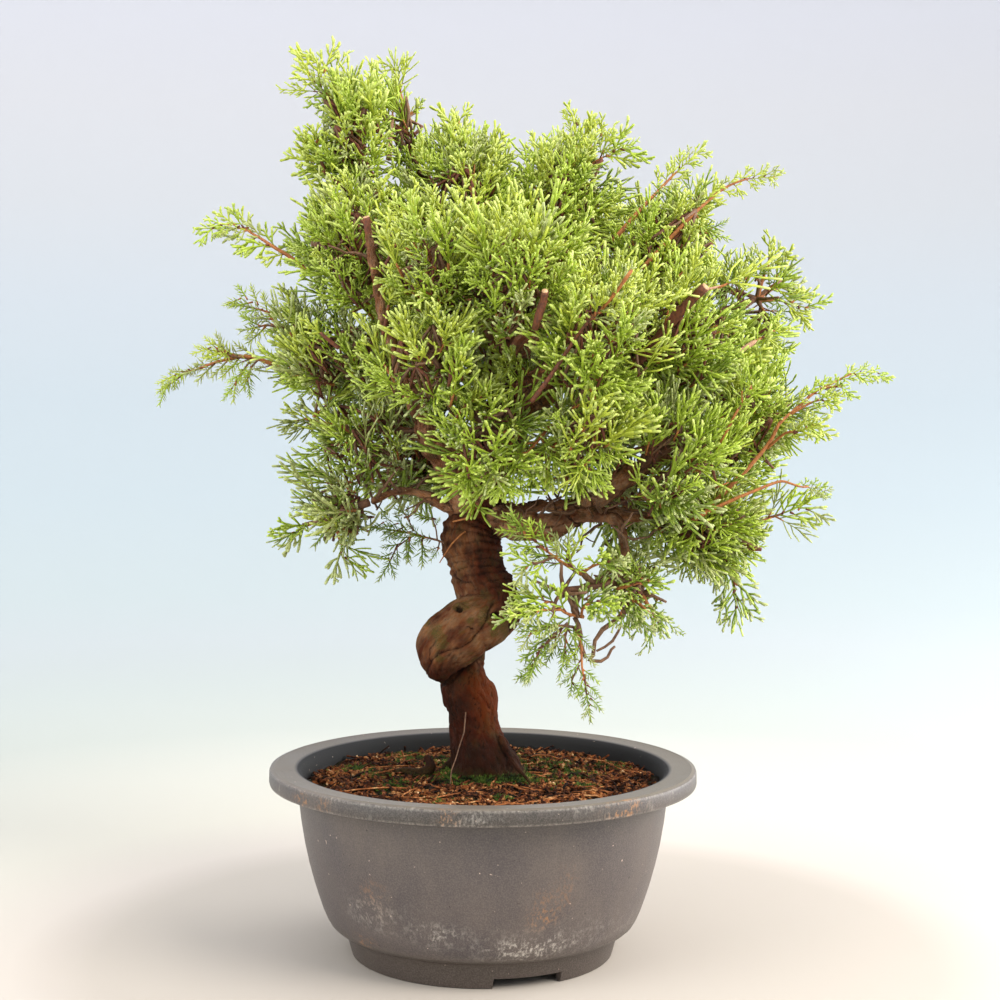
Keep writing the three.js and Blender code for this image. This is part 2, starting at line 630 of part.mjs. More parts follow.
// One mass of foliage on its stem: dense inside, branches, sprays and outstanding tips.
function makeMass(name, seed) {
  const mass = MASSES[name];
  const random = randomFrom(seed);
  const c = V(mass[1]);
  let body = solid(limbGeometry(stemOf[name], 4, 2));
  const fuse = (geometry) => {
    const piece = solid(geometry);
    body = cleanOne(SHIFTS.map((d) => () => body.add(piece.translate(d)))) ?? body;
  };

  fuse(makeCore(name, random));
  const branches = spread(FOLIAGE.branches, random).map((dir) => {
    const share = Math.min(reach(name, dir, 1) - 0.1, FOLIAGE.twigShare);
    return { dir, end: inMass(mass, dir, share) };
  });
  for (const b of branches) fuse(twig(c, b.end, FOLIAGE.branchRoot, FOLIAGE.branchTip));
  for (const points of outerSprays(name, branches, random)) fuse(spray(points));
  for (const tip of mass[3]) {
    const shoot = outstanding(name, tip, random);
    fuse(shoot.twig);
    fuse(spray(shoot.lead));
    for (const points of shoot.sides) fuse(spray(points, true));
  }
  return body;
}

Object.keys(MASSES).forEach((name, i) => {
  let body = makeMass(name, 101 + 7 * i);
  for (const limb of ["trunk", ...Object.keys(LIMBS)]) {
    body = cutClear(body, (grow) => limbBody(limb, grow), GAP);
  }
  for (const [other, knots] of Object.entries(stemOf)) {
    if (other === name) continue;
    body = cutClear(body, (grow) => solid(limbGeometry(knots, 4, 2, undefined, grow)), GAP);
  }
  bodies.set(name, body);
});

// ---------------------------------------------------------------- assembly

const part = new THREE.Group();
part.name = "juniper_bonsai";
part.add(meshOf("pot", makeBowl(), FINISH.bowl));
part.add(meshOf("soil", makeSoil(), FINISH.soil));
for (const [name, body] of bodies) {
  const finish = name === "trunk" ? FINISH.bark : name in LIMBS ? FINISH.limb : FINISH.leaf;
  part.add(meshOf(name, body, finish));
}
const box = new THREE.Box3().setFromObject(part);
const centre = box.getCenter(new THREE.Vector3());
part.position.set(-centre.x, -centre.y, -box.min.z);

export default part;
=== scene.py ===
"""Chinese juniper bonsai in a round plastic training bowl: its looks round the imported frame.

The plant is laid out in millimetres about the bowl's axis, as the solids are, and the meshes are
written in metres in the row frame.
"""

import json
import logging
import math
from dataclasses import dataclass, field
from enum import Enum
from typing import Callable, Optional, Sequence

import bpy
import numpy as np
from mathutils import Matrix, Vector

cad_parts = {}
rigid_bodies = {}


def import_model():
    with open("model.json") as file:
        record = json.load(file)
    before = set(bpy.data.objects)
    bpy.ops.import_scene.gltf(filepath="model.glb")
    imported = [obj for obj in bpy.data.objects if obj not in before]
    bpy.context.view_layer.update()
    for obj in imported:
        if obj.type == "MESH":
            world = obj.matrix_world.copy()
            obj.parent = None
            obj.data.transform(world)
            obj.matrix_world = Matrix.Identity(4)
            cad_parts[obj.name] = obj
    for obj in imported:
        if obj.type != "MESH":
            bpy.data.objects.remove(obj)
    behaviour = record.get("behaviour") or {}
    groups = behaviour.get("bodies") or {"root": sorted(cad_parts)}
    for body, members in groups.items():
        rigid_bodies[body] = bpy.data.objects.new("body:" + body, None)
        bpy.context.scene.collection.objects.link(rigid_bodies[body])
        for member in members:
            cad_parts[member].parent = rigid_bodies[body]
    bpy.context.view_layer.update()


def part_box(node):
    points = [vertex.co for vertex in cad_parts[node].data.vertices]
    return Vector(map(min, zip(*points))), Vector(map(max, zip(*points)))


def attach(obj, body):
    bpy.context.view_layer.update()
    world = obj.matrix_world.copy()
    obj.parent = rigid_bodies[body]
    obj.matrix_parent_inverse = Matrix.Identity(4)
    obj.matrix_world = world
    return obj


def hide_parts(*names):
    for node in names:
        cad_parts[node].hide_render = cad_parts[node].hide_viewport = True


LOG = logging.getLogger("juniper")
MM = 0.001
CIRCLE = 2 * math.pi
ANY_TURN = 6.28  # a whole turn, as the random draws take it
GOLDEN_TURN = 2.399963  # from one direction to the next, so that none lie in a row
Point = tuple[float, float, float]
Flat = tuple[float, float]
Array = np.ndarray
Draws = np.random.Generator
Material, Piece = bpy.types.Material, bpy.types.Object
Shelf, Socket = bpy.types.Collection, bpy.types.NodeSocket


# Plan of the plant


@dataclass(frozen=True)
class Limb:
    """Sizes of one limb.

    Attributes:
        parent: what it grows from.
        place: share of the parent's course at which it leaves.
        root: radius at its root, mm.
        tip: radius at its tip, mm.
        course: points it passes after its root, mm.
    """

    parent: str
    place: float
    root: float
    tip: float
    course: tuple[Point, ...]


@dataclass(frozen=True)
class Mass:
    """Sizes of one mass of foliage.

    Attributes:
        limb: the limb whose tip carries it.
        centre: centre of its own space, mm.
        radii: radii of its own space, mm.
        tips: ends of the shoots that stand out of it, mm.
    """

    limb: str
    centre: Point
    radii: Point
    tips: tuple[Point, ...] = ()

    @property
    def size(self) -> float:
        """Mean radius, mm."""
        return sum(self.radii) / 3


TRUNK_FOOT = (
    (2, 0, 79, 16.6), (-3, -2, 101, 12.3), (-6, -4, 116, 11.2), (-9, -7, 128, 11.6), (-9, -12, 150, 10),
)
TRUNK_COURSE = (
    (-17, -11, 131, 6), (-18, -16, 138, 11.4), (-17, -19, 146, 13.8), (-8, -18, 154.5, 14.8),
    (3, -13, 162, 14.8), (1, -6, 177, 13.8), (-4.5, -1, 194, 12.9), (0, 3, 217, 10.7),
    (8, 5, 250, 7.8), (5, 6, 298, 5), (-9, 4, 338, 2.4),
)
LIMBS: dict[str, Limb] = {"limb_" + name: Limb(*row) for name, row in {
    "left_leader": ("trunk", 0.655, 7, 2.3, ((-18, -11, 228), (-33, -30, 260), (-45, -50, 298),
        (-51, -58, 333))),
    "left_bottom": ("trunk", 0.655, 5.2, 2.3, ((-24, -7, 211), (-38, -12, 216), (-52, -14, 212))),
    "left_low": ("trunk", 0.72, 4.2, 2.2, ((-20, 6, 238), (-42, 2, 244))),
    "left_arm": ("trunk", 0.795, 4.2, 2.2, ((-22, 10, 268), (-52, 6, 280))),
    "left_shoulder": ("trunk", 0.885, 3.4, 2, ((-20, -2, 312), (-42, -10, 322))),
    "apex_left": ("trunk", 0.93, 3, 1.8, ((-28, 2, 338), (-54, -4, 356))),
    "apex_back": ("trunk", 0.955, 2.6, 1.6, ((-22, 16, 350), (-35, 25, 374))),
    "top_right": ("trunk", 0.905, 3.2, 2, ((14, 6, 322), (29, 6, 342))),
    "upper_right": ("trunk", 0.86, 4, 2.2, ((36, 6, 302), (72, 0, 326))),
    "right_outer": ("trunk", 0.825, 4.4, 2.2, ((52, 14, 284), (106, 17, 300))),
    "right_mid": ("trunk", 0.8, 4.4, 2.4, ((38, -8, 270), (70, -24, 284))),
    "right_low": ("trunk", 0.64, 7.6, 3.4, ((26, -6, 203), (44, -12, 208), (70, -26, 230))),
    "right_arm": ("limb_right_low", 0.72, 3.6, 2, ((82, -12, 232), (108, -10, 250))),
    "right_bottom": ("limb_right_low", 0.5, 3.8, 2, ((66, -6, 206), (94, -6, 204))),
    "droop": ("limb_right_low", 0.6, 3.4, 2, ((60, -32, 206), (63, -42, 189))),
    "front_upper": ("trunk", 0.865, 3.4, 2, ((1, -20, 294), (-4, -42, 308))),
    "front_low": ("trunk", 0.76, 4, 2.2, ((0, -22, 248), (-9, -44, 258))),
    "front_right": ("trunk", 0.79, 4, 2.2, ((20, -24, 254), (37, -44, 266))),
    "back_upper": ("trunk", 0.88, 3.8, 2.2, ((-1, 26, 302), (-14, 44, 322))),
    "back_top_right": ("trunk", 0.85, 3.8, 2.2, ((26, 28, 292), (48, 50, 311))),
    "back_middle": ("trunk", 0.775, 4.4, 2.4, ((-1, 28, 250), (-15, 50, 262))),
    "back_right": ("trunk", 0.74, 5, 2.6, ((34, 26, 236), (68, 46, 246))),
    "back_low_right": ("trunk", 0.66, 4.6, 2.4, ((26, 20, 208), (52, 40, 210))),
    "back_low_left": ("trunk", 0.69, 4, 2.2, ((-10, 24, 214), (-22, 38, 219))),
}.items()}
MASSES: dict[str, Mass] = {name: Mass(*row) for name, row in {
    "crown_top": ("trunk", (-11, 4, 362), (38, 49, 38), ((-15, 4, 398),)),
    "apex_left": ("limb_apex_left", (-66, -8, 387), (26, 32, 38), ((-82, -8, 423), (-87, -20, 412))),
    "apex_back": ("limb_apex_back", (-40, 26, 393), (23, 28, 33), ((-46, 32, 425), (-30, 25, 398))),
    "top_right": ("limb_top_right", (40, 5, 362), (40, 49, 36), ((59, 10, 390), (73, 0, 381), (43, 4, 397))),
    "upper_right": ("limb_upper_right", (90, -4, 341), (43, 49, 36), ((138, -8, 361), (103, 8, 380))),
    "left_shoulder": ("limb_left_shoulder", (-63, -16, 332), (38, 49, 38), ((-131, -20, 335),)),
    "left_arm": ("limb_left_arm", (-75, 4, 285), (45, 52, 33), ((-154, -6, 259), (-119, 14, 309))),
    "left_low": ("limb_left_low", (-61, -2, 244), (38, 45, 32), ((-98, -6, 250),)),
    "left_bottom": ("limb_left_bottom", (-69, -15, 205), (36, 40, 32), ((-97, -22, 192), (-61, -20, 176))),
    "right_outer": ("limb_right_outer", (128, 16, 308), (37, 46, 38), ((160, 20, 301), (137, 14, 335),
        (151, 30, 317))),
    "right_mid": ("limb_right_mid", (93, -34, 293), (38, 47, 36)),
    "right_arm": ("limb_right_arm", (127, -11, 255), (38, 48, 33), ((186, -16, 271), (158, -20, 244))),
    "right_low": ("limb_right_low", (88, -42, 240), (37, 44, 35)),
    "right_bottom": ("limb_right_bottom", (113, -8, 196), (38, 44, 40), ((161, -8, 213), (119, -12, 153))),
    "droop_right": ("limb_droop", (71, -33, 172), (28, 33, 27), ((82, -40, 153),)),
    "droop_front": ("limb_droop", (35, -58, 176), (30, 32, 34), ((46, -66, 120), (17, -60, 137))),
    "front_upper": ("limb_front_upper", (-22, -61, 319), (34, 42, 34)),
    "front_centre": ("limb_front_upper", (15, -72, 315), (34, 42, 34)),
    "front_left": ("limb_front_low", (-24, -66, 280), (32, 42, 32)),
    "front_low": ("limb_front_low", (2, -62, 246), (36, 40, 36)),
    "front_right": ("limb_front_right", (51, -71, 291), (36, 44, 36)),
    "front_right_low": ("limb_front_right", (47, -57, 249), (31, 42, 30)),
    "back_upper_left": ("limb_back_upper", (-40, 56, 334), (40, 47, 40)),
    "back_upper": ("limb_back_upper", (11, 73, 340), (42, 47, 42)),
    "back_upper_right": ("limb_back_top_right", (65, 63, 326), (43, 49, 39)),
    "back_left": ("limb_back_middle", (-44, 58, 278), (39, 47, 38)),
    "back_centre": ("limb_back_middle", (10, 80, 279), (40, 44, 40)),
    "back_mid_right": ("limb_back_right", (70, 71, 267), (42, 47, 40)),
    "back_right": ("limb_back_right", (114, 51, 256), (38, 47, 36)),
    "back_low_right": ("limb_back_low_right", (72, 50, 212), (42, 46, 38)),
    "back_low_left": ("limb_back_low_left", (-31, 50, 230), (35, 42, 32)),
    "trunk_sprig": ("trunk", (-36, 1, 187), (14, 12, 11), ((-49, -4, 173),)),
}.items()}


# Small helpers


class SeededDraw:
    """Seeded random numbers in 0..1, the same as the solids are grown with."""

    def __init__(self, seed: int) -> None:
        """Starts at seed."""
        self.state = seed & 0xFFFFFFFF

    def draw(self) -> float:
        """Returns the next number."""
        mask = 0xFFFFFFFF
        self.state = (self.state + 0x6D2B79F5) & mask
        a = self.state
        t = ((a ^ (a >> 15)) * (1 | a)) & mask
        t = ((t + (((t ^ (t >> 7)) * (61 | t)) & mask)) & mask) ^ t
        return (t ^ (t >> 14)) / 4294967296


def unit(v: Array) -> Array:
    """Vectors at length one."""
    v = np.asarray(v, float)
    return v / np.maximum(np.linalg.norm(v, axis=-1, keepdims=True), 1e-9)


def along(knots: Array, t: Array) -> Array:
    """Points of a uniform Catmull-Rom curve.

    Args:
        knots: rows of x, y, z and more.
        t: shares of the course, 0 to 1.

    Returns:
        One row for each share.
    """
    k = np.asarray(knots, float)
    last = len(k) - 1
    s = np.clip(np.atleast_1d(np.asarray(t, float)), 0, 1) * last
    i = np.minimum(s.astype(int), last - 1)
    u = (s - i)[:, None]
    a, b, c, d = k[np.maximum(i - 1, 0)], k[i], k[i + 1], k[np.minimum(i + 2, last)]
    return 0.5 * (2 * b + (c - a) * u + (2 * a - 5 * b + 4 * c - d) * u**2 + (3 * b - a - 3 * c + d) * u**3)


def fan_noise(points: Array, seed: int) -> Array:
    """Smooth value noise in 0..1 on a unit lattice.

    Args:
        points: rows of x, y, z.
        seed: which noise.

    Returns:
        One number for each point.
    """
    p = np.asarray(points, float)
    cell = np.floor(p).astype(np.int64)
    u = p - cell
    u = u * u * (3 - 2 * u)
    total = np.zeros(len(p))
    for corner in range(8):
        step = np.array([corner & 1, corner >> 1 & 1, corner >> 2 & 1])
        c = cell + step
        h = c[:, 0] * 374761393 + c[:, 1] * 668265263 + c[:, 2] * 2147483629 + seed * 1274126177
        h = h & 0xFFFFFFFF
        h = ((h ^ (h >> 13)) * 1274126177) & 0xFFFFFFFF
        h = h ^ (h >> 16)
        weight = np.prod(np.where(step, u, 1 - u), axis=1)
        total += weight * h / 4294967296
    return total


def cloud(points: Array, seed: int, octaves: int = 3) -> Array:
    """Layered noise in about 0..1: each octave twice as fine and half as strong."""
    total, weight = np.zeros(len(points)), 0.0
    for o in range(octaves):
        total += fan_noise(np.asarray(points) * 2**o + 17.3 * o, seed + o) * 0.5**o
        weight += 0.5**o
    return total / weight


def smooth(low: float, high: float, x: Array) -> Array:
    """Smooth step from 0 at low to 1 at high."""
    t = np.clip((x - low) / (high - low), 0, 1)
    return t * t * (3 - 2 * t)


def even_directions(count: int, random: Callable[[], float]) -> Array:
    """Directions spread evenly over the sphere, jittered."""
    turn = random() * CIRCLE
    rows = []
    for i in range(count):
        z = 1 - (2 * (i + 0.5)) / count
        a = turn + i * GOLDEN_TURN + (random() - 0.5) * 0.5
        r = math.sqrt(1 - z * z)
        rows.append((r * math.cos(a), r * math.sin(a), z + (random() - 0.5) * 0.12))
    return unit(np.array(rows))


class Shape:
    """A triangle mesh that grows piece by piece, in millimetres."""

    def __init__(self) -> None:
        """Starts empty."""
        self.points: list[Array] = []
        self.faces: list[Array] = []
        self.count = 0

    def add(self, points: Array, faces: Array) -> None:
        """Adds points and the triangles among them."""
        self.points.append(np.asarray(points, float))
        self.faces.append(np.asarray(faces, int) + self.count)
        self.count += len(points)

    def arrays(self) -> tuple[Array, Array]:
        """Returns all points and all triangles."""
        if not self.points:
            return np.zeros((0, 3)), np.zeros((0, 3), int)
        return np.concatenate(self.points), np.concatenate(self.faces)


def round_angles(sides: int) -> Array:
    """Angles of the corners of a ring."""
    return np.arange(sides) * CIRCLE / sides


def tube_faces(sides: int, rings: int) -> Array:
    """Triangles of a tube: its points are the rings in order, then the start point and the end point."""
    faces = []
    start, end = rings * sides, rings * sides + 1
    for j in range(sides):
        k = (j + 1) % sides
        faces.append((start, k, j))
        for i in range(rings - 1):
            a, b = i * sides, (i + 1) * sides
            faces += [(a + j, a + k, b + k), (a + j, b + k, b + j)]
        faces.append(((rings - 1) * sides + j, (rings - 1) * sides + k, end))
    return np.array(faces)


def disc_faces(sides: int, rings: int) -> Array:
    """Triangles of a round sheet: its points are the rings from the middle out, then the middle."""
    j = np.arange(sides)
    k = (j + 1) % sides
    faces = [np.stack([np.full(sides, rings * sides), j, k], -1)]
    for p in range(0, (rings - 1) * sides, sides):
        q = p + sides
        faces += [np.stack([p + j, q + j, q + k], -1), np.stack([p + j, q + k, p + k], -1)]
    return np.concatenate(faces)


def carried_frames(line: Array) -> tuple[Array, Array, Array]:
    """Directions along a line, with a side and an up that are carried on without twist."""
    ahead = np.gradient(line, axis=0)
    dirs = unit(ahead)
    side = np.array([1.0, 0, 0])
    if abs(dirs[0] @ side) > 0.95:
        side = np.array([0, 1.0, 0])
    sides = []
    for d in dirs:
        side = unit(side - d * (side @ d))
        sides.append(side)
    sides = np.array(sides)
    return dirs, sides, np.cross(dirs, sides)


def tube(line: Array, radii: Array, sides: int, end: float = 0.6,
         swell: Optional[Callable[[Array, Array], Array]] = None) -> tuple[Array, Array]:
    """Closed tube along a line.

    Args:
        line: its centre points.
        radii: its radius at each of them.
        sides: corners of its section.
        end: how far the closing point stands out of the end, in end radii.
        swell: scales the radius by the share along and the angle.

    Returns:
        Points and triangles.
    """
    line, radii = np.asarray(line, float), np.asarray(radii, float)
    dirs, side, up = carried_frames(line)
    angle = round_angles(sides)
    share = np.linspace(0, 1, len(line))
    r = radii[:, None] * np.ones(sides)
    if swell is not None:
        r = r * swell(share[:, None], angle[None, :])
    across, upwards = (r * np.cos(angle))[..., None], (r * np.sin(angle))[..., None]
    ring = line[:, None] + side[:, None] * across + up[:, None] * upwards
    points = np.concatenate([
        ring.reshape(-1, 3), [line[0] - dirs[0] * 0.2 * radii[0]], [line[-1] + dirs[-1] * end * radii[-1]],
    ])
    return points, tube_faces(sides, len(line))


# Finishes


def srgb(code: str) -> tuple[float, float, float, float]:
    """Linear colour of a #rrggbb code."""
    values = [int(code[i:i + 2], 16) / 255 for i in (1, 3, 5)]
    linear = [v / 12.92 if v <= 0.04045 else ((v + 0.055) / 1.055) ** 2.4 for v in values]
    return (*linear, 1.0)


class NodeBoard:
    """A material's nodes, made and joined in few words."""

    def __init__(self, name: str) -> None:
        """Starts a material with its shader."""
        self.material = bpy.data.materials.new(name)
        self.material.use_nodes = True
        self.tree = self.material.node_tree
        self.shader = self.tree.nodes["Principled BSDF"]

    def make(self, kind: str, **values: object) -> bpy.types.Node:
        """Adds a node and sets its properties and inputs by name."""
        node = self.tree.nodes.new(kind)
        for key, value in values.items():
            if hasattr(node, key):
                setattr(node, key, value)
            else:
                node.inputs[key.replace("_", " ")].default_value = value
        return node

    def join(self, source: Socket, target: Socket) -> None:
        """Links two sockets."""
        self.tree.links.new(source, target)

    def fix(self, **values: float) -> None:
        """Sets inputs of the shader by name."""
        for key, value in values.items():
            self.shader.inputs[key.replace("_", " ")].default_value = value

    def place(self, scale: Point = (1, 1, 1), attribute: Optional[str] = None) -> Socket:
        """Coordinates for a pattern: Object coordinates, or a named attribute, scaled."""
        if attribute is None:
            source = self.make("ShaderNodeTexCoord").outputs["Object"]
        else:
            source = self.make("ShaderNodeAttribute", attribute_name=attribute).outputs["Vector"]
        mapping = self.make("ShaderNodeMapping")
        mapping.inputs["Scale"].default_value = scale
        self.join(source, mapping.inputs["Vector"])
        return mapping.outputs["Vector"]

    def noise(self, place: Socket, scale: float, detail: float, rough: float) -> Socket:
        """Noise in 0..1."""
        node = self.make("ShaderNodeTexNoise", Scale=scale, Detail=detail, Roughness=rough)
        self.join(place, node.inputs["Vector"])
        return node.outputs["Fac"]

    def ramp(self, value: Socket, stops: Sequence[tuple[float, str]]) -> Socket:
        """Colour by value: each stop has its place and its #rrggbb code."""
        node = self.make("ShaderNodeValToRGB")
        points = node.color_ramp.elements
        while len(points) < len(stops):
            points.new(0.5)
        for point, (at, code) in zip(points, stops):
            point.position, point.color = at, srgb(code)
        self.join(value, node.inputs["Fac"])
        return node.outputs["Color"]

    def span(self, value: Socket, low: float, high: float, to_low: float = 0, to_high: float = 1) -> Socket:
        """Value moved from one span to another, held at its ends."""
        node = self.make("ShaderNodeMapRange")
        for i, v in enumerate((low, high, to_low, to_high), 1):
            node.inputs[i].default_value = v
        self.join(value, node.inputs[0])
        return node.outputs[0]

    def maths(self, kind: str, a: object, b: object = 0.0) -> Socket:
        """One sum of two numbers or sockets."""
        node = self.make("ShaderNodeMath", operation=kind)
        for i, v in enumerate((a, b)):
            if isinstance(v, Socket):
                self.join(v, node.inputs[i])
            else:
                node.inputs[i].default_value = v
        return node.outputs[0]

    def times(self, a: object, b: object) -> Socket:
        """The product of two numbers or sockets."""
        return self.maths("MULTIPLY", a, b)

    def blend(self, share: object, a: object, b: object, how: str = "MIX") -> Socket:
        """Two colours, each a socket or a #rrggbb code, mixed by share."""
        node = self.make("ShaderNodeMix", data_type="RGBA", blend_type=how)
        for socket, v in zip((node.inputs[0], node.inputs[6], node.inputs[7]), (share, a, b)):
            if isinstance(v, Socket):
                self.join(v, socket)
            else:
                socket.default_value = srgb(v) if isinstance(v, str) else v
        return node.outputs[2]

    def channel(self, name: str) -> Socket:
        """A number kept on the mesh's points."""
        return self.make("ShaderNodeAttribute", attribute_name=name).outputs["Fac"]

    def finish(self, colour: Socket, rough: Optional[Socket] = None, height: Optional[Socket] = None,
               depth_mm: float = 0.2, strength: float = 1.0) -> Material:
        """Joins colour, roughness and bump to the shader and returns the material."""
        self.join(colour, self.shader.inputs["Base Color"])
        if rough is not None:
            self.join(rough, self.shader.inputs["Roughness"])
        if height is not None:
            bump = self.make("ShaderNodeBump", Distance=depth_mm * MM, Strength=strength)
            self.join(height, bump.inputs["Height"])
            self.join(bump.outputs["Normal"], self.shader.inputs["Normal"])
        return self.material


@dataclass(frozen=True)
class LeafFinish:
    """Plain colour of one kind of spray.

    Attributes:
        name: material's name.
        colour: #rrggbb.
        rough: roughness.
    """

    name: str
    colour: str
    rough: float = 0.5

    def make(self) -> Material:
        """Returns the material."""
        board = NodeBoard(self.name)
        board.fix(Base_Color=srgb(self.colour), Roughness=self.rough, Specular_IOR_Level=0.4)
        return board.material


@dataclass(frozen=True)
class BarkFinish:
    """Flaking juniper bark: painted shade in the cracks, red brown, grey on the old swelling, painted shade
    beside the swelling and towards the soil.
    """

    # crack: painted shade, laid where the bark lies low in cracks, folds and scars
    crack: str = "#100805"
    brown: str = "#3d2317"
    red: str = "#542818"
    pale: str = "#8e6e52"
    ruddy: str = "#5d3322"
    orange: str = "#7a3f18"
    dark: str = "#261811"
    moss: str = "#4a4d1d"
    bough: str = "#c09a7e"
    bough_deep: str = "#8d6650"
    lichen: str = "#4e4a2c"
    fibre: str = "#c8a280"
    speck: str = "#8f7a62"

    def make(self) -> Material:
        """Returns the material, which reads the mesh's grain, relief and tone attributes."""
        b = NodeBoard("juniper_bark")
        fibre = b.noise(b.place((1, 1, 0.4), "grain"), 620, 7, 0.72)
        blotch = b.noise(b.place(), 95, 5, 0.62)
        patch = b.noise(b.place((1, 1, 0.6), "grain"), 190, 5, 0.62)
        speck = b.noise(b.place(), 2300, 3, 0.6)
        base = b.blend(b.span(patch, 0.4, 0.6), self.brown, self.red)
        boughs = b.blend(b.span(patch, 0.38, 0.56), self.bough_deep, self.bough)
        base = b.blend(b.channel("bough"), base, boughs)
        greys = b.blend(b.span(patch, 0.36, 0.6), self.ruddy, self.pale)
        base = b.blend(b.channel("grey"), base, greys)
        base = b.blend(b.span(blotch, 0.52, 0.66, 0.0, 0.55), base, self.lichen)
        base = b.blend(b.channel("orange"), base, self.orange)
        base = b.blend(b.span(blotch, 0.46, 0.34, 0.0, 0.5), base, self.dark)
        # Painted shade: darker towards the soil, on the left of the lower trunk and on the right of the trunk
        # from the swelling up.
        base = b.blend(b.channel("damp"), base, self.dark)
        base = b.blend(b.span(fibre, 0.36, 0.64), base, self.fibre, "SOFT_LIGHT")
        base = b.blend(b.span(speck, 0.64, 0.8, 0, 0.3), base, self.speck)
        mossy = b.times(b.channel("moss"), b.span(speck, 0.38, 0.6))
        base = b.blend(mossy, base, self.moss)
        # Painted shade: low bark in cracks, fold troughs and scars takes the crack colour, as do the darkest
        # fibres of the grain.
        low = b.span(b.channel("relief"), 0.0, 0.5, 1.0, 0.0)
        low = b.maths("MAXIMUM", low, b.span(fibre, 0.43, 0.32, 0.0, 0.75))
        colour = b.blend(b.times(low, 0.85), base, self.crack)
        height = b.maths("ADD", b.times(fibre, 0.8), b.times(speck, 0.2))
        b.fix(Specular_IOR_Level=0.12)
        return b.finish(colour, b.span(fibre, 0.2, 0.8, 0.68, 0.92), height, 1.0, 2.2)


@dataclass(frozen=True)
class TwigFinish:
    """Thin bark of young wood.

    Attributes:
        name: material's name.
        light: colour of its lit flakes.
        deep: colour between them.
    """

    name: str
    light: str
    deep: str

    def make(self) -> Material:
        """Returns the material."""
        b = NodeBoard(self.name)
        flake = b.noise(b.place((1, 1, 0.6)), 900, 4, 0.6)
        colour = b.ramp(flake, ((0.3, self.deep), (0.68, self.light)))
        return b.finish(colour, b.span(flake, 0.2, 0.8, 0.55, 0.85), flake, 0.15, 0.7)


@dataclass(frozen=True)
class BowlFinish:
    """Moulded dark plastic, dulled, with lime, soil marks and worn corners, painted shade on the lip's front
    and the inner wall, and a painted reflection on the lip's top.
    """

    plastic: str = "#453e3f"
    dull: str = "#5a504b"
    # lip colours: painted shade on the lip's front, darkest in its middle
    lip: str = "#352e28"
    lip_deep_shade: str = "#28231f"
    low: str = "#3b312a"
    grain: str = "#8c8078"
    # top: painted reflection on the lip's top
    top: str = "#7b7263"
    # inner: painted shade on the inner wall above the soil
    inner: str = "#080605"
    lime: str = "#bcb4aa"
    chalk: str = "#cbb3a4"
    pit: str = "#2a201a"
    clay: str = "#b07a48"
    worn: str = "#a0978d"

    def make(self) -> Material:
        """Returns the material, in Object coordinates of the row frame."""
        b = NodeBoard("moulded_plastic")
        cloudy = b.noise(b.place((1, 1, 0.6)), 30, 5, 0.6)
        grain = b.noise(b.place(), 1500, 4, 0.62)
        scuff = b.noise(b.place(), 240, 6, 0.7)
        fine = b.noise(b.place((1, 1, 0.5)), 900, 5, 0.7)
        spots = b.noise(b.place(), 520, 2, 0.5)
        base = b.blend(b.span(cloudy, 0.35, 0.65), self.plastic, self.dull)
        # Painted shade on the lip's front, with scuffs.
        lip_shade = b.blend(b.span(scuff, 0.35, 0.65), self.lip, self.lip_deep_shade)
        for share, colour in (
            # lip paints shade on the lip's front, flat paints a reflection on its top, inner paints shade on
            # the inner wall.
            (b.channel("lip"), lip_shade), (b.channel("low"), self.low),
            (b.span(grain, 0.42, 0.62, 0.0, 0.22), self.grain),
            (b.channel("flat"), self.top), (b.channel("inner"), self.inner),
        ):
            base = b.blend(share, base, colour)
        lime = b.times(b.channel("lime"), b.span(b.times(scuff, fine), 0.24, 0.36))
        colour = b.blend(lime, base, self.lime)
        chalk = b.times(b.span(spots, 0.735, 0.76), b.span(scuff, 0.45, 0.55))
        colour = b.blend(chalk, colour, self.chalk)
        colour = b.blend(b.span(spots, 0.262, 0.245), colour, self.pit)
        clay = b.times(b.channel("clay"), b.span(b.times(scuff, fine), 0.25, 0.33))
        colour = b.blend(clay, colour, self.clay)
        worn = b.times(b.channel("edge"), b.span(fine, 0.4, 0.62, 0.05, 0.6))
        colour = b.blend(worn, colour, self.worn)
        rough = b.maths("ADD", b.span(cloudy, 0.3, 0.7, 0.4, 0.5), b.times(lime, 0.3))
        rough = b.maths("MAXIMUM", rough, b.times(b.channel("inner"), 0.8))
        height = b.maths("ADD", b.times(grain, 0.7), b.times(fine, 0.3))
        b.fix(Specular_IOR_Level=0.6)
        return b.finish(colour, rough, height, 0.22, 0.8)


@dataclass(frozen=True)
class SoilFinish:
    """Dark damp soil between the bark shreds."""

    def make(self) -> Material:
        """Returns the material."""
        b = NodeBoard("potting_soil")
        grit = b.noise(b.place(), 900, 6, 0.7)
        patch = b.noise(b.place(), 120, 3, 0.6)
        colour = b.ramp(grit, ((0.3, "#0b0604"), (0.5, "#22120b"), (0.66, "#3f2313"), (0.8, "#664225")))
        colour = b.blend(b.span(patch, 0.45, 0.65, 0, 0.6), colour, "#2d3614")
        b.fix(Specular_IOR_Level=0.1)
        return b.finish(colour, None, grit, 1.2, 1.0)


@dataclass(frozen=True)
class CrumbFinish:
    """Colour of one kind of litter, uneven from bit to bit.

    Attributes:
        name: material's name.
        stops: colours from dark to light.
        rough: roughness.
    """

    name: str
    stops: tuple[str, ...]
    rough: float = 0.85

    def make(self) -> Material:
        """Returns the material."""
        b = NodeBoard(self.name)
        b.fix(Roughness=self.rough, Specular_IOR_Level=0.12)
        fine = b.times(b.noise(b.place(), 330, 3, 0.75), 0.55)
        tone = b.maths("ADD", fine, b.times(b.noise(b.place(), 60, 3, 0.6), 0.45))
        at = np.linspace(0.4, 0.66, len(self.stops))
        colour = b.ramp(tone, tuple((float(p), code) for p, code in zip(at, self.stops)))
        return b.finish(colour, None, b.noise(b.place(), 2600, 3, 0.6), 0.1, 0.6)


# Mesh making


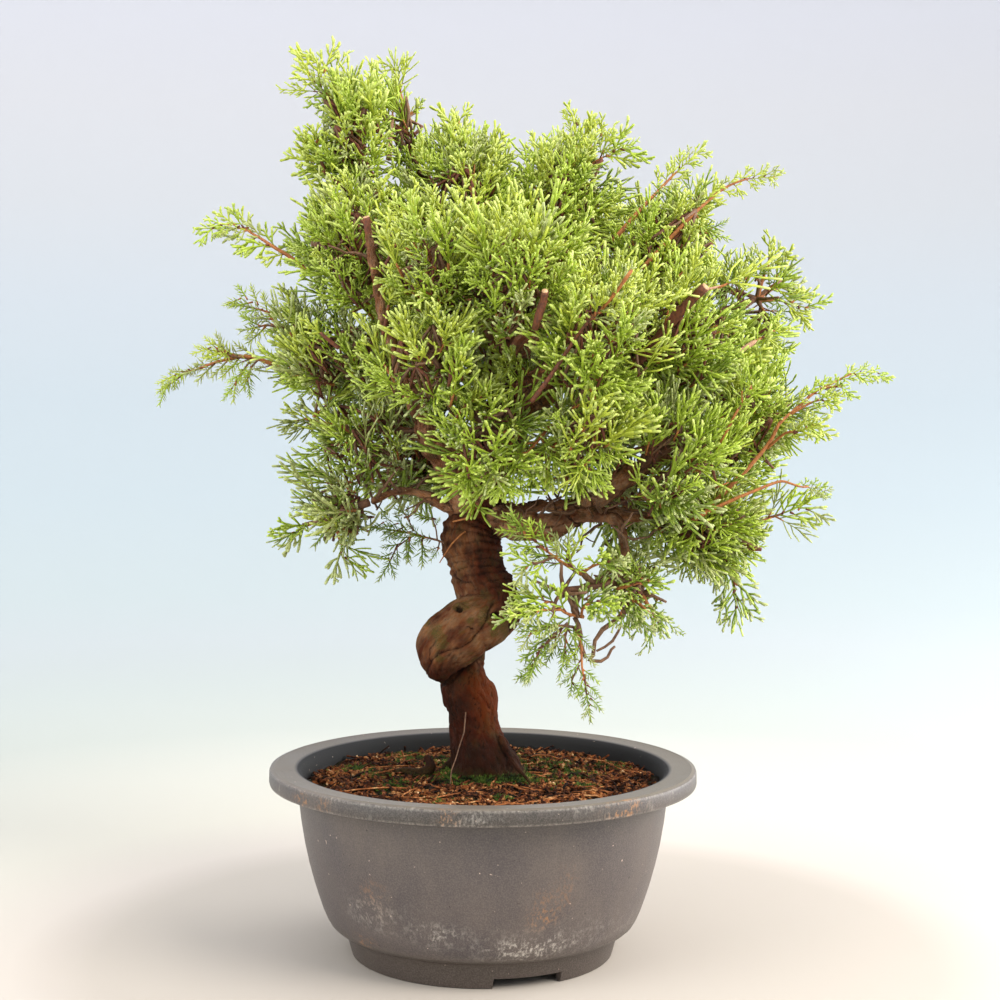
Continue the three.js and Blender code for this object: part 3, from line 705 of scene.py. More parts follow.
class Workbench:
    """Turns shapes laid out about the bowl's axis into pieces of the row frame."""

    def __init__(self, axis: Vector) -> None:
        """Keeps where the bowl's axis stands in the row frame, metres."""
        self.axis = np.array([axis.x, axis.y, 0.0])

    def mesh(self, name: str, points: Array, faces: Array) -> Piece:
        """Makes an object from points in millimetres about the bowl's axis.

        Args:
            name: its name.
            points: rows of x, y, z.
            faces: triangles.

        Returns:
            The object, at the origin.
        """
        return self.raw(name, points * MM + self.axis, faces)

    @staticmethod
    def raw(name: str, points: Array, faces: Array) -> Piece:
        """Makes an object from points and triangles as they are."""
        mesh = bpy.data.meshes.new(name)
        mesh.vertices.add(len(points))
        mesh.vertices.foreach_set("co", np.asarray(points, np.float32).ravel())
        mesh.loops.add(len(faces) * 3)
        mesh.loops.foreach_set("vertex_index", np.asarray(faces, np.int32).ravel())
        mesh.polygons.add(len(faces))
        mesh.polygons.foreach_set("loop_start", np.arange(0, len(faces) * 3, 3, dtype=np.int32))
        mesh.polygons.foreach_set("use_smooth", np.ones(len(faces), bool))
        mesh.update(calc_edges=True)
        mesh.validate()
        obj = bpy.data.objects.new(name, mesh)
        bpy.context.scene.collection.objects.link(obj)
        return obj

    @staticmethod
    def channel(obj: Piece, name: str, values: Array) -> None:
        """Keeps a number or a vector on each point of a piece."""
        kind, field_name = ("FLOAT_VECTOR", "vector") if np.ndim(values) == 2 else ("FLOAT", "value")
        attribute = obj.data.attributes.new(name, kind, "POINT")
        attribute.data.foreach_set(field_name, np.asarray(values, np.float32).ravel())

    @staticmethod
    def baked(obj: Piece, name: str) -> Piece:
        """A plain mesh of an object with its modifiers; the object itself is removed."""
        graph = bpy.context.evaluated_depsgraph_get()
        whole = obj.evaluated_get(graph)
        mesh = bpy.data.meshes.new_from_object(whole, preserve_all_data_layers=True, depsgraph=graph)
        bpy.data.objects.remove(obj)
        made = bpy.data.objects.new(name, mesh)
        mesh.name = name
        bpy.context.scene.collection.objects.link(made)
        return made

    @staticmethod
    def settle(obj: Piece, slot: str, replaces: Sequence[str] = (),
               material: Optional[Material] = None) -> None:
        """Ties a finished piece to the frame.

        Args:
            obj: the piece.
            slot: the record's material slot; not used.
            replaces: nodes it stands for.
            material: its only material, where it has none yet.
        """
        if material is not None:
            obj.data.materials.clear()
            obj.data.materials.append(material)
        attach(obj, "root")
        if replaces:
            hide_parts(*replaces)
        LOG.info("%s: %d faces", obj.name, len(obj.data.polygons))


class Scatter:
    """Geometry Nodes that plant shapes on points: each point says which, how big and how turned."""

    def __init__(self, bench: Workbench) -> None:
        """Builds the node tree once."""
        self.bench = bench
        self.tree = tree = bpy.data.node_groups.new("plant_on_points", "GeometryNodeTree")
        for name, way, kind in (("Geometry", "INPUT", "Geometry"), ("Shapes", "INPUT", "Collection"),
                                ("Finish", "INPUT", "Material"), ("Geometry", "OUTPUT", "Geometry")):
            tree.interface.new_socket(name=name, in_out=way, socket_type="NodeSocket" + kind)
        new = tree.nodes.new
        entry, leave = new("NodeGroupInput"), new("NodeGroupOutput")
        shapes = new("GeometryNodeCollectionInfo")
        shapes.inputs["Separate Children"].default_value = True
        shapes.inputs["Reset Children"].default_value = True
        fields = {}
        for name, kind in (("form", "INT"), ("size", "FLOAT"), ("turn", "FLOAT_VECTOR")):
            node = new("GeometryNodeInputNamedAttribute")
            node.data_type = kind
            node.inputs["Name"].default_value = name
            fields[name] = next(o for o in node.outputs if o.enabled and o.name == "Attribute")
        turn = new("FunctionNodeEulerToRotation")
        plant = new("GeometryNodeInstanceOnPoints")
        plant.inputs["Pick Instance"].default_value = True
        real, finish = new("GeometryNodeRealizeInstances"), new("GeometryNodeSetMaterial")
        for source, target in (
            (entry.outputs["Shapes"], shapes.inputs["Collection"]),
            (fields["turn"], turn.inputs[0]),
            (entry.outputs["Geometry"], plant.inputs["Points"]),
            (shapes.outputs[0], plant.inputs["Instance"]),
            (fields["form"], plant.inputs["Instance Index"]),
            (turn.outputs[0], plant.inputs["Rotation"]),
            (fields["size"], plant.inputs["Scale"]),
            (plant.outputs[0], real.inputs[0]),
            (real.outputs[0], finish.inputs["Geometry"]),
            (entry.outputs["Finish"], finish.inputs["Material"]),
            (finish.outputs[0], leave.inputs[0]),
        ):
            tree.links.new(source, target)
        self.sockets = {s.name: s.identifier for s in tree.interface.items_tree if s.in_out == "INPUT"}

    def shelf(self, name: str, shapes: Sequence[tuple[Array, Array]]) -> Shelf:
        """A collection of shapes, in millimetres about their own root, to pick from by number."""
        shelf = bpy.data.collections.new(name)
        for i, (points, faces) in enumerate(shapes):
            obj = self.bench.raw(f"{name}_{i:03d}", np.asarray(points) * MM, faces)
            bpy.context.scene.collection.objects.unlink(obj)
            shelf.objects.link(obj)
        return shelf

    def plant(self, name: str, shelf: Shelf, points: Array, form: Array, size: Array, turn: Array,
              material: Material) -> Piece:
        """Plants shapes of a shelf on points.

        Args:
            name: the new piece's name.
            shelf: shapes to pick from.
            points: places, in millimetres about the bowl's axis.
            form: number of the shape at each.
            size: scale at each.
            turn: Euler angles at each.
            material: the finish.

        Returns:
            One plain mesh of them all.
        """
        base = self.bench.mesh(name + "_points", points, np.zeros((0, 3), int))
        attribute = base.data.attributes.new("form", "INT", "POINT")
        attribute.data.foreach_set("value", np.asarray(form, np.int32))
        self.bench.channel(base, "size", size)
        self.bench.channel(base, "turn", turn)
        modifier = base.modifiers.new("plant", "NODES")
        modifier.node_group = self.tree
        modifier[self.sockets["Shapes"]] = shelf
        modifier[self.sockets["Finish"]] = material
        made = self.bench.baked(base, name)
        for key in ("form", "size", "turn"):
            if key in made.data.attributes:
                made.data.attributes.remove(made.data.attributes[key])
        return made

    @staticmethod
    def discard(*shelves: Shelf) -> None:
        """Removes shelves and their shapes."""
        for shelf in shelves:
            for obj in list(shelf.objects):
                bpy.data.objects.remove(obj)
            bpy.data.collections.remove(shelf)


# The bowl


@dataclass
class TrainingBowl:
    """Round bowl with a flat lip and a foot ring in three parts.

    Attributes:
        facets: corners round it.
        foot: radius and height from the middle of the underside out over the foot ring, mm.
        outside: the same up the outer wall.
        lip: the same over the lip.
        inside: the same down the inner wall to the middle of its floor.
        notch_at: middle of each gap in the foot, degrees.
        notch_width: width of a gap, degrees.
        notch_height: height of a gap, mm.
    """

    facets: int = 256
    foot: tuple[Flat, ...] = (
        (0, 14), (54, 14), (57.5, 13.2), (57.9, 6.5), (58.2, 0.4), (58.8, 0), (60.6, 0), (61.3, 0.5),
    )
    outside: tuple[Flat, ...] = (
        (62.6, 5), (63.8, 9), (64.6, 11.2), (65.6, 12.4), (67.6, 13.2), (69.8, 14.2), (71.6, 15.8),
        (73, 18.2), (74.9, 22.5), (76.8, 28), (79, 35), (81.3, 43.5), (83.4, 53), (85.2, 64), (86.5, 75),
        (87, 79.6), (87.9, 80.3),
    )
    lip: tuple[Flat, ...] = (
        (98.6, 80.4), (99.7, 80.9), (100, 82), (99.9, 86.4), (99.5, 87.5), (98.6, 87.9), (97.6, 88.15),
        (96.9, 87.8), (88.6, 87.7), (86.6, 87.2), (85.2, 86), (84.4, 84.2),
    )
    inside: tuple[Flat, ...] = ((84, 80.4), (82.6, 68), (80, 50), (72, 25), (62, 17), (0, 17))
    notch_at: tuple[float, ...] = (-70.0, 50.0, 170.0)
    notch_width: float = 30.0
    notch_height: float = 5.0

    def angles(self) -> Array:
        """Angles round the bowl, with pairs close together at the walls of the gaps, radians."""
        even = np.arange(self.facets) * 360 / self.facets - 180
        half = self.notch_width / 2
        walls = [m + s * half + e for m in self.notch_at for s in (-1, 1) for e in (-0.25, 0.25)]
        walls = [(w + 180) % 360 - 180 for w in walls]
        keep = [a for a in even if all(abs((a - w + 180) % 360 - 180) > 0.35 for w in walls)]
        return np.radians(np.sort(np.array(keep + walls)))

    def build(self, bench: Workbench) -> None:
        """Makes the bowl and its wear marks."""
        profile = np.array(self.foot + self.outside + self.lip + self.inside, float)
        angles = self.angles()
        across = [np.abs((np.degrees(angles) - middle + 180) % 360 - 180) for middle in self.notch_at]
        in_gap = np.min(across, axis=0) < self.notch_width / 2
        radius, height = profile[1:-1].T
        at_foot = (radius > 57.8) & (height < self.notch_height)
        z = np.where(at_foot[:, None] & in_gap, self.notch_height, height[:, None])
        r = radius[:, None]
        rings = np.stack([r * np.cos(angles), r * np.sin(angles), z], -1).reshape(-1, 3)
        points = np.concatenate([rings, [[0, 0, profile[0, 1]], [0, 0, profile[-1, 1]]]])
        obj = bench.mesh("bowl", points, tube_faces(len(angles), len(radius)))
        obj.data.set_sharp_from_angle(angle=math.radians(32))
        self.mark(bench, obj, points)
        bench.settle(obj, "pot", ["pot"], BowlFinish().make())

    @staticmethod
    def mark(bench: Workbench, obj: Piece, points: Array) -> None:
        """Says where the lime, the soil marks and the wear are, and where shade and a reflection are painted
        on the lip and the inner wall.
        """
        x, y, z = points.T
        r = np.hypot(x, y)
        azimuth = np.degrees(np.arctan2(x, -y))  # 0 in front, positive to the right
        rough = cloud(points / 9, 3)

        def patch(at: float, wide: float, height: float, tall: float) -> Array:
            """A soft patch round an azimuth and a height."""
            return np.exp(-(((azimuth - at) / wide) ** 2) - ((z - height) / tall) ** 2)
        outer, rim = (r > 60) & (z < 80), (r > 98) & (z > 80)
        lime = 1.5 * patch(17, 13, 21, 4.5) + 0.7 * patch(-14, 9, 27, 4) + 0.6 * patch(-38, 12, 33, 6)
        lime = np.where(outer, lime + 0.25 * patch(40, 30, 24, 7), 0)
        lime = lime + np.where((r > 98) & (z < 88), 0.3 * smooth(0.56, 0.68, cloud(points / 7, 9)), 0)
        clay = patch(20, 4, 38, 5) + 0.8 * patch(27, 3, 48, 4) + 0.6 * patch(-36, 5, 40, 4)
        clay = clay + 0.9 * patch(-45, 4, 18, 3)
        rim_clay = patch(38, 5, 84, 6) + patch(-8, 2, 84, 5) + patch(-52, 3, 82, 5)
        rim_clay = rim_clay + 0.7 * patch(-43, 2, 83, 4)
        edge = np.exp(-(((z - 87.6) / 0.7) ** 2)) * (r > 98.9) + np.exp(-(((z - 80.9) / 0.6) ** 2)) * (r > 99)
        marks = {
            "lime": lime * (0.6 + 0.8 * rough),
            "clay": np.where(outer, clay, 0) + np.where(rim, rim_clay, 0),
            "edge": edge + 0.35 * np.exp(-(((z - 15.2) / 1.2) ** 2)) * (r > 64),
            # Painted shade on the lip's outer face, darkest at its front middle and fading to the sides.
            "lip": np.where(rim & (z < 87.6), 1 - 0.8 * smooth(12, 60, np.abs(azimuth)), 0),
            # Painted reflection on the lip's top, lighter towards the right.
            "flat": np.where((r > 86.7) & (r < 99) & (z > 87.4), 0.55 + 0.3 * smooth(0, 90, azimuth), 0),
            # Painted shade on the inner wall above the soil.
            "inner": np.where((r < 86.7) & (z > 80.35), 1, 0),
            "low": np.where(outer, smooth(20, 13, z) * 0.85, 0),
        }
        for name, values in marks.items():
            bench.channel(obj, name, np.clip(values, 0, 1))


# Skeleton shared by wood and foliage


@dataclass
class Skeleton:
    """Courses of trunk, limbs and stems, and the rule that gives each mass its own space.

    Attributes:
        clear: distance kept from limbs and from neighbouring masses, mm.
        stem_tip: radius of a stem at the mass's centre, mm.
        gap: clearance of the solids, mm.
        first: share of a mass's radii at which the search for its own space starts.
        step: and how finely it goes on.
        tip_depth: how deep the line to a tip that stands out lies.
        tip_spread: how far from that line the depth grows by one, mm.
        sprig_place: where on the trunk the small sprig leaves.
        sprig_reach: its stem's length from the trunk's middle, mm.
    """

    clear: float = 0.7
    stem_tip: float = 1.5
    gap: float = 0.3
    first: float = 0.2
    step: float = 0.04
    tip_depth: float = 0.55
    tip_spread: float = 14
    sprig_place: float = 0.585
    sprig_reach: float = 9.0
    knots: dict[str, Array] = field(default_factory=dict)
    stems: dict[str, Array] = field(default_factory=dict)

    def __post_init__(self) -> None:
        """Works out every course from the plan."""
        self.knots["trunk"] = np.array(TRUNK_COURSE, float)
        for name, limb in LIMBS.items():
            start = along(self.knots[limb.parent], limb.place)[0, :3]
            line = np.vstack([start, np.array(limb.course, float)])
            share = np.linspace(0, 1, len(line))
            radius = limb.root + (limb.tip - limb.root) * share**0.8
            self.knots[name] = np.column_stack([line, radius])
        for name, mass in MASSES.items():
            self.stems[name] = self.stem(name, mass)
        foot, trunk = np.array(TRUNK_FOOT, float), self.knots["trunk"]
        wood = [self.capsules(foot, 10, 1.1), self.capsules(trunk, 40, 1.1)]
        self.wood = np.concatenate(wood + [self.capsules(self.knots[name], 10) for name in LIMBS])
        self.names = list(MASSES)
        self.centres = np.array([m.centre for m in MASSES.values()], float)
        self.radii = np.array([m.radii for m in MASSES.values()], float)

    def stem(self, name: str, mass: Mass) -> Array:
        """Course of a mass's stem, from the limb's tip to the mass's centre."""
        centre = np.array(mass.centre, float)
        if name == "trunk_sprig":
            p = along(self.knots["trunk"], self.sprig_place)[0, :3]
            direction = unit(centre - p)
            start, radius = p + direction * self.sprig_reach, 1.8
        else:
            knots = self.knots[mass.limb]
            ends = along(knots, [0.99, 1.0])
            direction = unit(ends[1, :3] - ends[0, :3])
            tip_radius = ends[1, 3]
            start = ends[1, :3] + direction * (0.25 * tip_radius + self.gap + 0.1)
            radius = 0.9 * tip_radius
            twins = [m for m in MASSES.values() if m.limb == mass.limb and mass.limb != "trunk"]
            if len(twins) > 1:
                other = next(m for m in twins if m.centre != mass.centre)
                apart = centre - np.array(other.centre, float)
                apart = unit(apart - direction * (apart @ direction))
                radius *= 0.55
                start = start + apart * (radius + self.gap)
        middle = start + direction * 0.3 * np.linalg.norm(centre - start)
        middle = middle + (centre - middle) * 0.25
        line = np.stack([start, middle, centre])
        return np.column_stack([line, radius + (self.stem_tip - radius) * np.array([0, 0.5, 1])])

    @staticmethod
    def capsules(knots: Array, steps: int, wider: float = 1.0) -> Array:
        """Capsules along a course: rows of two ends and two radii."""
        p = along(knots, np.linspace(0, 1, steps + 1))
        p[:, 3] *= wider
        return np.column_stack([p[:-1, :3], p[1:, :3], p[:-1, 3], p[1:, 3]])

    @staticmethod
    def clearance(points: Array, capsules: Array) -> Array:
        """Least distance from each point to the surface of any capsule, mm."""
        least = np.full(len(points), np.inf)
        for c in capsules:
            a, ab = c[:3], c[3:6] - c[:3]
            t = np.clip(((points - a) @ ab) / max(ab @ ab, 1e-9), 0, 1)
            away = np.linalg.norm(points - a - t[:, None] * ab, axis=1) - (c[6] + (c[7] - c[6]) * t)
            least = np.minimum(least, away)
        return least

    def depth(self, index: int, points: Array) -> Array:
        """How deep points lie in a mass: under 1 inside it or beside a tip that stands out."""
        c = self.centres[index]
        d = np.linalg.norm((points - c) / self.radii[index], axis=-1)
        for tip in MASSES[self.names[index]].tips:
            capsule = np.array([[*c, *tip, 0.0, 0.0]])
            d = np.minimum(d, self.tip_depth + self.clearance(points, capsule) / self.tip_spread)
        return d

    def own(self, name: str, points: Array) -> Array:
        """True where points lie deeper in this mass than in any other."""
        index = self.names.index(name)
        mine = self.depth(index, points)
        size = MASSES[name].size
        good = np.ones(len(points), bool)
        for other in range(len(self.names)):
            if other != index:
                good &= (self.depth(other, points) - mine) * size >= self.clear
        return good

    def in_mass(self, name: str, directions: Array, share: Array) -> Array:
        """Points at shares of a mass's radii."""
        centre, radii = np.array(MASSES[name].centre, float), np.array(MASSES[name].radii, float)
        return centre + directions * radii * np.asarray(share)[..., None]

    def reach(self, name: str, directions: Array, most: float = 1.0) -> Array:
        """How far the mass's own space runs along each direction, as a share of its radii."""
        steps = [self.first]
        while steps[-1] + self.step <= most + 1e-9:
            steps.append(steps[-1] + self.step)
        share = np.full(len(directions), steps[0])
        going = np.ones(len(directions), bool)
        for s in steps[1:]:
            going &= self.own(name, self.in_mass(name, directions, np.full(len(directions), s)))
            share = np.where(going, s, share)
        return np.where(share + self.step > most, most, share)


# Trunk and boughs


@dataclass(frozen=True)
class Skin:
    """Points of the wood's skin, and where on the wood each of them lies.

    Attributes:
        p: the points, mm.
        n: their normals.
        grain: coordinates that run along the wood, mm.
        radius: the wood's radius there, mm.
        trunk: 1 on the trunk and its roots, 0 on the boughs.
    """

    p: Array
    n: Array
    grain: Array
    radius: Array
    trunk: Array

    @property
    def bulge(self) -> Array:
        """The trunk's swelling, 0 to 1."""
        return self.trunk * smooth(134, 142, self.p[:, 2]) * smooth(176, 166, self.p[:, 2])

    @property
    def folds(self) -> Array:
        """The folded bark above the swelling, 0 to 1."""
        return self.trunk * smooth(166, 178, self.p[:, 2]) * smooth(212, 200, self.p[:, 2])


@dataclass
class Wood:
    """Trunk and boughs in one skin with the bark's relief.

    Attributes:
        voxel: size of the skin's net, mm.
        swell: how much a bough thickens where it leaves its parent.
        lobes: ways in which the foot spreads into roots, degrees.
        flare: how far it spreads, as a share of its radius.
        flare_height: how far up the spread reaches, as a share of the foot's course.
        roots: surface roots: x, y, z and radius, mm.
        fits: where the trunk leaves its plain course: height, spread, move to the right, added radius, mm.
        slim: boughs thinner than the solid: by which share, and from and to which shares it sets in.
    """

    skeleton: Skeleton
    voxel: float = 0.85
    swell: float = 0.35
    lobes: tuple[float, ...] = (-8.0, 105.0, -128.0)
    flare: float = 0.1
    flare_height: float = 0.22
    roots: tuple[tuple[tuple[float, float, float, float], ...], ...] = (
        ((8, -8, 102, 2.0), (11, -11, 97, 1.5), (15, -14, 90, 1.2), (20, -17, 85, 1.0), (24, -19, 80, 0.8)),
        ((-47, 13, 79, 1.2), (-39, 6, 83, 1.9), (-30, -2, 84, 2.3), (-24.5, -2, 86.5, 2.4),
         (-27, 2, 91, 1.9)),
        ((-10, 5, 92, 3.0), (-16, 9, 86, 2.2), (-22, 12, 79, 1.6)),
    )
    fits: tuple[tuple[float, float, float, float], ...] = (
        (177, 10, -3.2, -0.4), (194, 6, -1.2, 1.2), (116, 9, 1, 0.8), (131, 8, -0.2, -1.1),
        (153, 9, 0.6, -0.6), (163, 4, 1.6, -1.6), (138, 6, -0.8, -0.7),
    )
    slim: dict[str, Point] = field(default_factory=lambda: {
        "limb_left_bottom": (0.35, 0.05, 0.3), "limb_left_leader": (0.3, 0.4, 0.7),
    })

    @staticmethod
    def uneven(share: Array, angle: Array) -> Array:
        """Uneven section of the trunk."""
        return 1 + 0.05 * np.cos(2 * angle + 9 * share) + 0.035 * np.cos(3 * angle - 14 * share + 1)

    def footed(self, share: Array, angle: Array) -> Array:
        """Uneven section that spreads into root lobes at the foot."""
        lobe = sum(np.maximum(np.cos(angle - math.radians(d)), 0) ** 5 for d in self.lobes)
        return self.uneven(share, angle) + self.flare * np.exp(-((share / self.flare_height) ** 2)) * lobe

    def lines(self) -> dict[str, Array]:
        """Fine courses of trunk, roots and limbs: rows of x, y, z, radius."""
        found = {
            "foot": along(np.array(TRUNK_FOOT, float), np.linspace(0, 1, 60)),
            "trunk": along(self.skeleton.knots["trunk"], np.linspace(0, 1, 240)),
        }
        for name in ("foot", "trunk"):
            line = found[name]
            for height, spread, move, wider in self.fits:
                near = np.exp(-(((line[:, 2] - height) / spread) ** 2))
                line[:, 0] += near * move
                line[:, 3] += near * wider
        for i, root in enumerate(self.roots):
            found[f"root_{i}"] = along(np.array(root, float), np.linspace(0, 1, 24))
        for name in LIMBS:
            line = along(self.skeleton.knots[name], np.linspace(0, 1, 48))
            share = np.linspace(0, 1, len(line))
            line[:, 3] *= 1 + self.swell * np.exp(-((share / 0.14) ** 2))
            wobble = np.stack([fan_noise(line[:, :3] / 9 + 40 * k, 60 + k) for k in range(3)], -1) - 0.5
            line[:, :3] += wobble * 4.2 * np.sin(math.pi * share)[:, None]
            line[:, 3] *= 0.8 + 0.5 * fan_noise(line[:, :3] / 3.6, 71)
            if name in self.slim:
                less, start, full = self.slim[name]
                line[:, 3] *= 1 - less * smooth(start, full, share)
            if name == "limb_right_low":
                line[:, 2] -= 3.5 * np.exp(-(((line[:, 0] - 32) / 16) ** 2))
            found[name] = line
        return found

    def build(self, bench: Workbench) -> None:
        """Makes the skin, its relief and its marks."""
        lines = self.lines()
        shape = Shape()
        for name, line in lines.items():
            swell = {"foot": self.footed, "trunk": self.uneven}.get(name)
            shape.add(*tube(line[:, :3], line[:, 3], 40 if name in ("foot", "trunk") else 14, 0.3, swell))
        rough = bench.mesh("wood_skin", *shape.arrays())
        remesh = rough.modifiers.new("net", "REMESH")
        remesh.mode = "VOXEL"
        remesh.voxel_size = self.voxel * MM
        ease = rough.modifiers.new("ease", "SMOOTH")
        ease.factor, ease.iterations = 0.5, 3
        skin = bench.baked(rough, "trunk_and_boughs")
        self.carve(bench, skin, lines)
        skin.data.polygons.foreach_set("use_smooth", np.ones(len(skin.data.polygons), bool))
        bench.settle(skin, "bark", ["trunk", *LIMBS], BarkFinish().make())

    def carve(self, bench: Workbench, skin: Piece, lines: dict[str, Array]) -> None:
        """Moves the skin's points into plates, folds and scars, and says where its colours and its painted
        shade lie.
        """
        mesh = skin.data
        read = np.zeros(len(mesh.vertices) * 3, np.float32)
        mesh.vertices.foreach_get("co", read)
        p = (read.reshape(-1, 3).astype(float) - bench.axis) / MM
        mesh.vertex_normals.foreach_get("vector", read)
        at = Skin(p, read.reshape(-1, 3).astype(float), *self.grain(p, lines))
        move, relief = self.relief(at)
        moved = p + at.n * move[:, None]
        mesh.vertices.foreach_set("co", ((moved * MM) + bench.axis).astype(np.float32).ravel())
        mesh.update()
        for name, values in {"relief": relief, **self.tones(at)}.items():
            bench.channel(skin, name, np.clip(values, 0, 1))
        bench.channel(skin, "grain", at.grain * MM)

    def relief(self, at: Skin) -> tuple[Array, Array]:
        """How far each point moves out, mm, and how high the bark stands there, 0 to 1, which paints low bark
        dark as shade.
        """
        x, z = at.p[:, 0], at.p[:, 2]
        bulge, folds = at.bulge, at.folds
        stretched = at.grain * np.array([1, 1, 0.4])
        plates = smooth(0.0, 0.2, np.abs(cloud(stretched / 3.4, 11, 3) - 0.5) * 2)
        knobs = cloud(at.grain / 7.0, 21, 2)
        depth = np.clip(at.radius * (0.07 + 0.12 * (1 - at.trunk)), 0.12, 0.75)
        move = depth * (plates - 0.75) * 0.9 + depth * (knobs - 0.5) * 3.4
        crack = smooth(0.0, 0.08, np.abs(cloud(stretched / 4.6 + 9, 13, 3) - 0.5) * 2)
        crack = np.maximum(crack, 0.45 * (bulge + folds))
        move -= (1 - crack) * 0.35
        relief = np.minimum(0.45 + 0.55 * plates, 0.1 + 0.9 * crack)
        ripple = np.sin(at.grain[:, 2] * 1.5 + 0.25 * x + 4.5 * cloud(at.p / 9, 31, 2)) * 0.5 + 0.5
        move += folds * (ripple**2 - 0.4) * 0.95
        relief = relief * (1 - 0.75 * folds * (1 - ripple) ** 2)
        front = smooth(0.1, -0.25, at.n[:, 1])
        shown = front * at.trunk
        # Cracks and scars are sunk, and their low relief paints them dark as shade.
        for line, wide, deep in self.crevices():
            away = self.line_distance(np.stack([x, z], -1), line)
            move -= np.exp(-((away / wide) ** 2)) * shown * deep
            relief *= 1 - 0.98 * np.exp(-((away / (0.8 * wide)) ** 2)) * shown
        for (cx, cz), wide, tall, deep, rim in self.scars():
            away = np.hypot((x - cx) / wide, (z - cz) / tall)
            ridge = rim * np.exp(-(((away - 1.25) / 0.35) ** 2))
            move += shown * (ridge - deep * smooth(1.0, 0.6, away))
            relief *= 1 - shown * smooth(1.0, 0.75, away)
        return move * (1 - 0.6 * bulge * (1 - front)), relief

    @staticmethod
    def tones(at: Skin) -> dict[str, Array]:
        """Where each colour of the bark and its painted shade lie, 0 to 1."""
        x, z = at.p[:, 0], at.p[:, 2]
        bulge, folds, limb = at.bulge, at.folds, 1 - at.trunk
        warm = cloud(at.p / 13, 41, 3)
        grey = at.trunk * bulge * smooth(0.2, 0.5, warm) * smooth(30, 8, x + 1.1 * (z - 150))
        grey += 0.2 * at.trunk * smooth(0.55, 0.7, warm)
        grey += folds * smooth(-1, -11, x) * (0.45 + 0.4 * warm)
        lower = at.trunk * smooth(138, 128, z) * smooth(100, 110, z)
        orange = lower * smooth(-8, -1, x + 0.28 * (z - 118)) * (0.1 + 0.85 * warm)
        orange += limb * 0.3 * smooth(0.5, 0.68, warm)
        # Painted shade: darker towards the soil, on the left of the lower trunk and on the right from the
        # swelling up.
        damp = smooth(106, 96, z) * 0.75 + lower * smooth(-4, -12, x + 0.28 * (z - 118)) * 0.45
        damp = at.trunk * (damp + 0.5 * smooth(150, 165, z) * smooth(2, 12, x))
        cushions = 0.8 * bulge * smooth(0.54, 0.64, cloud(at.p / 5, 51, 2))
        moss = at.trunk * (smooth(90, 82, z) * 0.45 + cushions)
        bough = limb * (0.5 + 0.5 * smooth(0.4, 0.6, warm))
        return {"grey": grey, "orange": orange, "damp": damp, "moss": moss, "bough": bough}

    @staticmethod
    def grain(p: Array, lines: dict[str, Array]) -> tuple[Array, Array, Array]:
        """Coordinates that run along the wood: across twice and along once, with radius and trunk share."""
        best = np.full(len(p), np.inf)
        grain = np.zeros((len(p), 3))
        radius = np.zeros(len(p))
        trunk = np.zeros(len(p))
        for i, (name, line) in enumerate(lines.items()):
            lo, hi = line[:, :3].min(0) - 30, line[:, :3].max(0) + 30
            near = np.flatnonzero(np.all((p > lo) & (p < hi), axis=1))
            if not len(near):
                continue
            dirs, side, up = carried_frames(line[:, :3])
            length = np.concatenate([[0], np.cumsum(np.linalg.norm(np.diff(line[:, :3], axis=0), axis=1))])
            for part in np.array_split(near, max(1, len(near) // 20000)):
                gap = p[part][:, None] - line[None, :, :3]
                away = np.linalg.norm(gap, axis=2) - line[None, :, 3]
                k = away.argmin(1)
                rows = np.arange(len(part))
                least = away[rows, k]
                win = least < best[part]
                g, kk, idx = gap[rows, k][win], k[win], part[win]
                s = length[kk] + np.einsum("ij,ij->i", g, dirs[kk])
                a = np.einsum("ij,ij->i", g, side[kk])
                c = np.einsum("ij,ij->i", g, up[kk])
                grain[idx] = np.stack([a + 90 * i, c, s], -1)
                radius[idx] = line[kk, 3]
                trunk[idx] = 1.0 if name in ("trunk", "foot") or name.startswith("root") else 0.0
                best[idx] = least[win]
        return grain, radius, trunk

    @staticmethod
    def crevices() -> tuple[tuple[Array, float, float], ...]:
        """Cracks on the trunk's front, sunk and painted dark as shade: line in x and z, width and depth, mm.
        """
        main = ((4.4, 167), (2.6, 164.2), (1.6, 160), (-1.2, 154.8), (-5, 150), (-10, 147), (-15, 146),
                (-19.3, 144.6))
        left = ((-19.3, 144.6), (-23, 141.5), (-25, 137.5), (-25.4, 134))
        ring = ((-21.5, 150), (-24.5, 146), (-24, 139))
        right = ((12.9, 156.4), (12.9, 152.4), (11.4, 149.4))
        fold = ((-15.5, 177.5), (-11, 175), (-6, 176))
        crease = ((-20.5, 126), (-14.2, 131.4), (-7.9, 135.1), (-2.4, 138.8), (1, 142))
        cracks = (
            (main, 0.7, 1.3), (left, 0.6, 1), (ring, 0.5, 0.5), (right, 0.9, 1.6), (fold, 0.9, 1.2),
            (crease, 1.2, 1.4),
        )
        return tuple((np.array(line, float), wide, deep) for line, wide, deep in cracks)

    @staticmethod
    def scars() -> tuple[tuple[Flat, float, float, float, float], ...]:
        """Healed branch scars on the trunk's front, sunk and painted dark as shade: centre, width, height,
        depth and rim, mm.
        """
        return (
            ((5.6, 161.7), 2.5, 1.8, 2.2, 0.4), ((-11.2, 163.9), 2.0, 1.7, 1.6, 0.9),
            ((-7.2, 156.6), 1.1, 0.7, 0.7, 0.2), ((-5.4, 155.8), 0.8, 0.7, 0.6, 0.2),
        )

